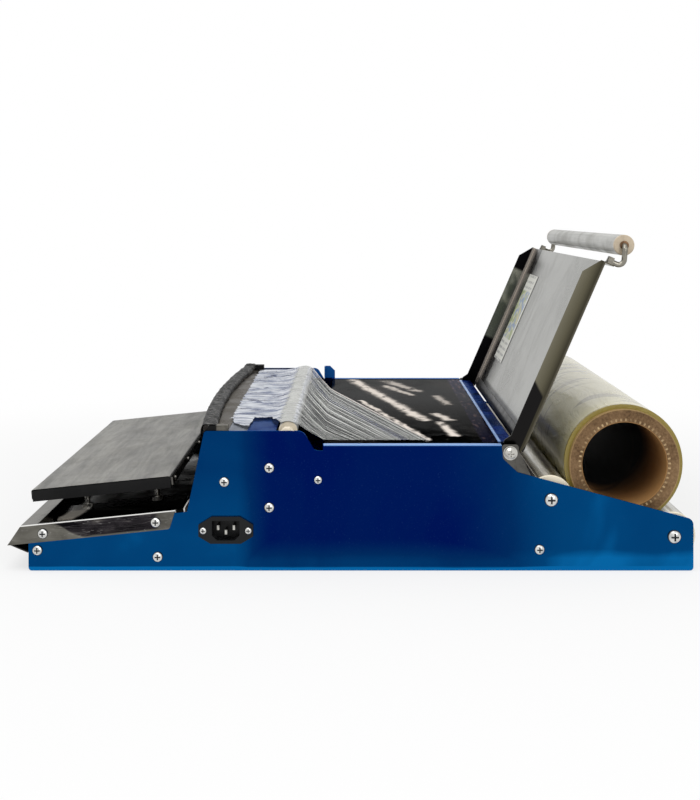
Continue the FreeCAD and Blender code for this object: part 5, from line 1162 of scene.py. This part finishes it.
def cover_plate():
    """Cloth over the hot plate, drawn down at its front and rear edges."""
    mesh = open_cloth(140, 141)
    for point in mesh.verts:
        across = (point.co.x - 0.5) * CLOTH_WIDTH
        length = point.co.y * CLOTH_SECTION[-1][0]
        along, above = along_section(CLOTH_SECTION, length)
        wave = abs(rumple(across * 12.0, length * 10.0, 6.0)) * 0.00025
        point.co = deck_point(across, along, above + wave)
    coated = FINISHES["black_cloth"]
    cloth = finished("hot_plate_cloth", mesh, "frame", "black_cloth", coated, "hot_plate_cover")


def lid_place(across, along, behind):
    """A point in the lid's own axes, in the machine's frame."""
    return LID_AXIS + Vector((across, 0.0, 0.0)) + LID_ALONG * along + LID_BEHIND * behind


# The edging's section in the lid's axes: along it and behind it
EDGING_SECTION = [
    (0.0160, 0.0106), (0.0160, 0.0130), (0.0060, 0.0130),
    (0.0036, 0.0124), (0.0036, 0.0112), (0.0060, 0.0106),
]
EDGING_HALF = 0.2272


def edge_lid():
    """Black rubber edging on the lid's lower edge."""
    mesh = bmesh.new()
    corners = [mesh.verts.new(lid_place(-EDGING_HALF, along, behind)) for along, behind in EDGING_SECTION]
    section = mesh.faces.new(corners)
    grown = bmesh.ops.extrude_face_region(mesh, geom=[section])
    ends = [item for item in grown["geom"] if isinstance(item, bmesh.types.BMVert)]
    bmesh.ops.translate(mesh, verts=ends, vec=(2.0 * EDGING_HALF, 0.0, 0.0))
    soften(mesh, mesh.edges[:])
    finished("lid_edging", mesh, "lid", "black_plastic", FINISHES["black_plastic"])


# The two discs of a clip: how far from the middle, radius and thickness
CLIP_DISCS = [(0.2115, 0.0040, 0.0014), (0.2128, 0.0027, 0.0012)]


def clip_roller():
    """Small brown clips that hold the lid's roller on its wire."""
    mesh = bmesh.new()
    upright = Matrix.Rotation(math.radians(90.0), 4, "Y")
    for side in (-1.0, 1.0):
        for reach, radius, thickness in CLIP_DISCS:
            spot = Matrix.Translation(ROLLER_AXIS + Vector((side * reach, 0.0, 0.0))) @ upright
            round_form = {"cap_ends": True, "segments": 24, "radius1": radius, "radius2": radius}
            bmesh.ops.create_cone(mesh, depth=thickness, matrix=spot, **round_form)
    rims = [edge for edge in mesh.edges if len(edge.link_faces) == 2 and edge.calc_face_angle(0.0) > 1.0]
    soften(mesh, rims)
    finished("lid_roller_clips", mesh, "lid", "bright_steel", BROWN_CLIP)


def letter(name, words, size, centre, material):
    """A small flat number or letter on the left panel, read from the left."""
    curve = bpy.data.curves.new(name, "FONT")
    curve.body = words
    curve.size = size
    curve.align_x = "CENTER"
    curve.align_y = "CENTER"
    curve.extrude = 0.0002
    curve.offset = 0.00008
    holder = put_in_scene(name, curve)
    bpy.context.view_layer.update()
    data = bpy.data.meshes.new_from_object(holder)
    bpy.data.objects.remove(holder)
    upright = Matrix.Rotation(math.radians(-90.0), 4, "Z") @ Matrix.Rotation(math.radians(90.0), 4, "X")
    data.transform(Matrix.Translation(centre) @ upright)
    mesh = bmesh.new()
    mesh.from_mesh(data)
    bpy.data.meshes.remove(data)
    bmesh.ops.remove_doubles(mesh, verts=mesh.verts, dist=1e-6)
    piece = finished(name, mesh, "frame", "dial_grey", material)
    for face in piece.data.polygons:
        face.use_smooth = False


# The marks' sizes, and how far they stand from the middle of the dial and of the switch
DIAL_MARK = 0.0066
DIAL_REACH = 0.0215
SWITCH_MARK = 0.0028
SWITCH_REACH = 0.0125


def mark_controls():
    """Plain numbers round the thermostat's dial and the on and off marks of the switch."""
    ink = moulded("dark dial ink", (30, 30, 32), 0.5)
    white = moulded("white mark ink", (232, 232, 230), 0.5)
    for step, number in enumerate("0123456"):
        angle = math.radians(225.0 - 45.0 * step)
        reach = Vector((0.0, math.cos(angle) * -DIAL_REACH, math.sin(angle) * DIAL_REACH))
        letter("dial_mark_" + number, number, DIAL_MARK, DIAL_CENTRE + reach, ink)
    for mark, up in (("I", SWITCH_REACH), ("O", -SWITCH_REACH)):
        letter("switch_mark_" + mark, mark, SWITCH_MARK, SWITCH_FACE + Vector((0.0, 0.0, up)), white)


dress_machine()
lay_film()
wrap_cutter()
cover_plate()
edge_lid()
clip_roller()
mark_controls()


# Stage, lamps and camera

def seen_ray(tree):
    """1 for rays from the camera, from gloss and through glass."""
    path = add(tree, "ShaderNodeLightPath").outputs
    seen = most(tree, path["Is Camera Ray"], path["Is Transmission Ray"])
    return most(tree, seen, path["Is Glossy Ray"])


def lay_floor():
    """Plain pale floor, white where it is seen far off, with the machine's shadow near by."""
    pale = bpy.data.materials.new("pale floor")
    pale.use_nodes = True
    tree = pale.node_tree
    tree.nodes.clear()
    matt = add(tree, "ShaderNodeBsdfDiffuse")
    matt.inputs["Color"].default_value = (0.86, 0.86, 0.86, 1.0)
    white = add(tree, "ShaderNodeEmission")
    white.inputs["Strength"].default_value = 1.0
    place = add(tree, "ShaderNodeTexCoord").outputs["Object"]
    away = vector_maths(tree, "LENGTH", place).outputs["Value"]
    share = spread(tree, away, 0.3, 1.0, 0.7, 1.0, smooth=True)
    mix = add(tree, "ShaderNodeMixShader")
    join(tree, mix.inputs[0], times(tree, share, seen_ray(tree)))
    join(tree, mix.inputs[1], matt.outputs[0])
    join(tree, mix.inputs[2], white.outputs[0])
    join(tree, add(tree, "ShaderNodeOutputMaterial").inputs["Surface"], mix.outputs[0])
    mesh = bmesh.new()
    bmesh.ops.create_grid(mesh, x_segments=1, y_segments=1, size=8.0)
    bmesh.ops.translate(mesh, verts=mesh.verts, vec=(0.0, 0.0, -0.0005))
    data = bpy.data.meshes.new("floor")
    mesh.to_mesh(data)
    mesh.free()
    floor = put_in_scene("floor", data)
    floor.data.materials.append(pale)


def light_room():
    """White room: plain for what it lights, and white where it is seen."""
    world = bpy.data.worlds.new("pale room")
    bpy.context.scene.world = world
    world.use_nodes = True
    tree = world.node_tree
    tree.nodes.clear()
    plain = add(tree, "ShaderNodeBackground")
    plain.inputs["Color"].default_value = (1.0, 1.0, 1.0, 1.0)
    plain.inputs["Strength"].default_value = 0.6
    white = add(tree, "ShaderNodeBackground")
    white.inputs["Color"].default_value = (1.0, 1.0, 1.0, 1.0)
    white.inputs["Strength"].default_value = 1.0
    mix = add(tree, "ShaderNodeMixShader")
    join(tree, mix.inputs[0], seen_ray(tree))
    join(tree, mix.inputs[1], plain.outputs[0])
    join(tree, mix.inputs[2], white.outputs[0])
    join(tree, add(tree, "ShaderNodeOutputWorld").inputs["Surface"], mix.outputs[0])


def hang_lamp(name, place, aim, size, power):
    """One soft square lamp."""
    lamp = bpy.data.lights.new(name, "AREA")
    lamp.shape = "SQUARE"
    lamp.size = size
    lamp.energy = power
    holder = put_in_scene(name, lamp)
    holder.location = place
    holder.rotation_euler = (Vector(aim) - Vector(place)).to_track_quat("-Z", "Y").to_euler()


def place_camera():
    """Level camera beside the machine, looking straight across it."""
    data = bpy.data.cameras.new("side camera")
    data.sensor_fit = "VERTICAL"
    data.sensor_height = 36.0
    data.lens = 59.9
    data.shift_x = -0.005
    data.shift_y = -0.2325
    camera = put_in_scene("side camera", data)
    camera.location = (1.4235, 0.0013, 0.3163)
    camera.rotation_euler = (math.radians(90.0), 0.0, math.radians(90.0))
    bpy.context.scene.camera = camera


lay_floor()
light_room()
hang_lamp("high lamp", (0.6, -0.3, 1.7), (0.0, 0.0, 0.1), 1.4, 14.0)
hang_lamp("side lamp", (1.6, 0.9, 0.9), (0.0, 0.1, 0.1), 1.0, 7.0)
place_camera()
bpy.context.scene.view_settings.view_transform = "Standard"
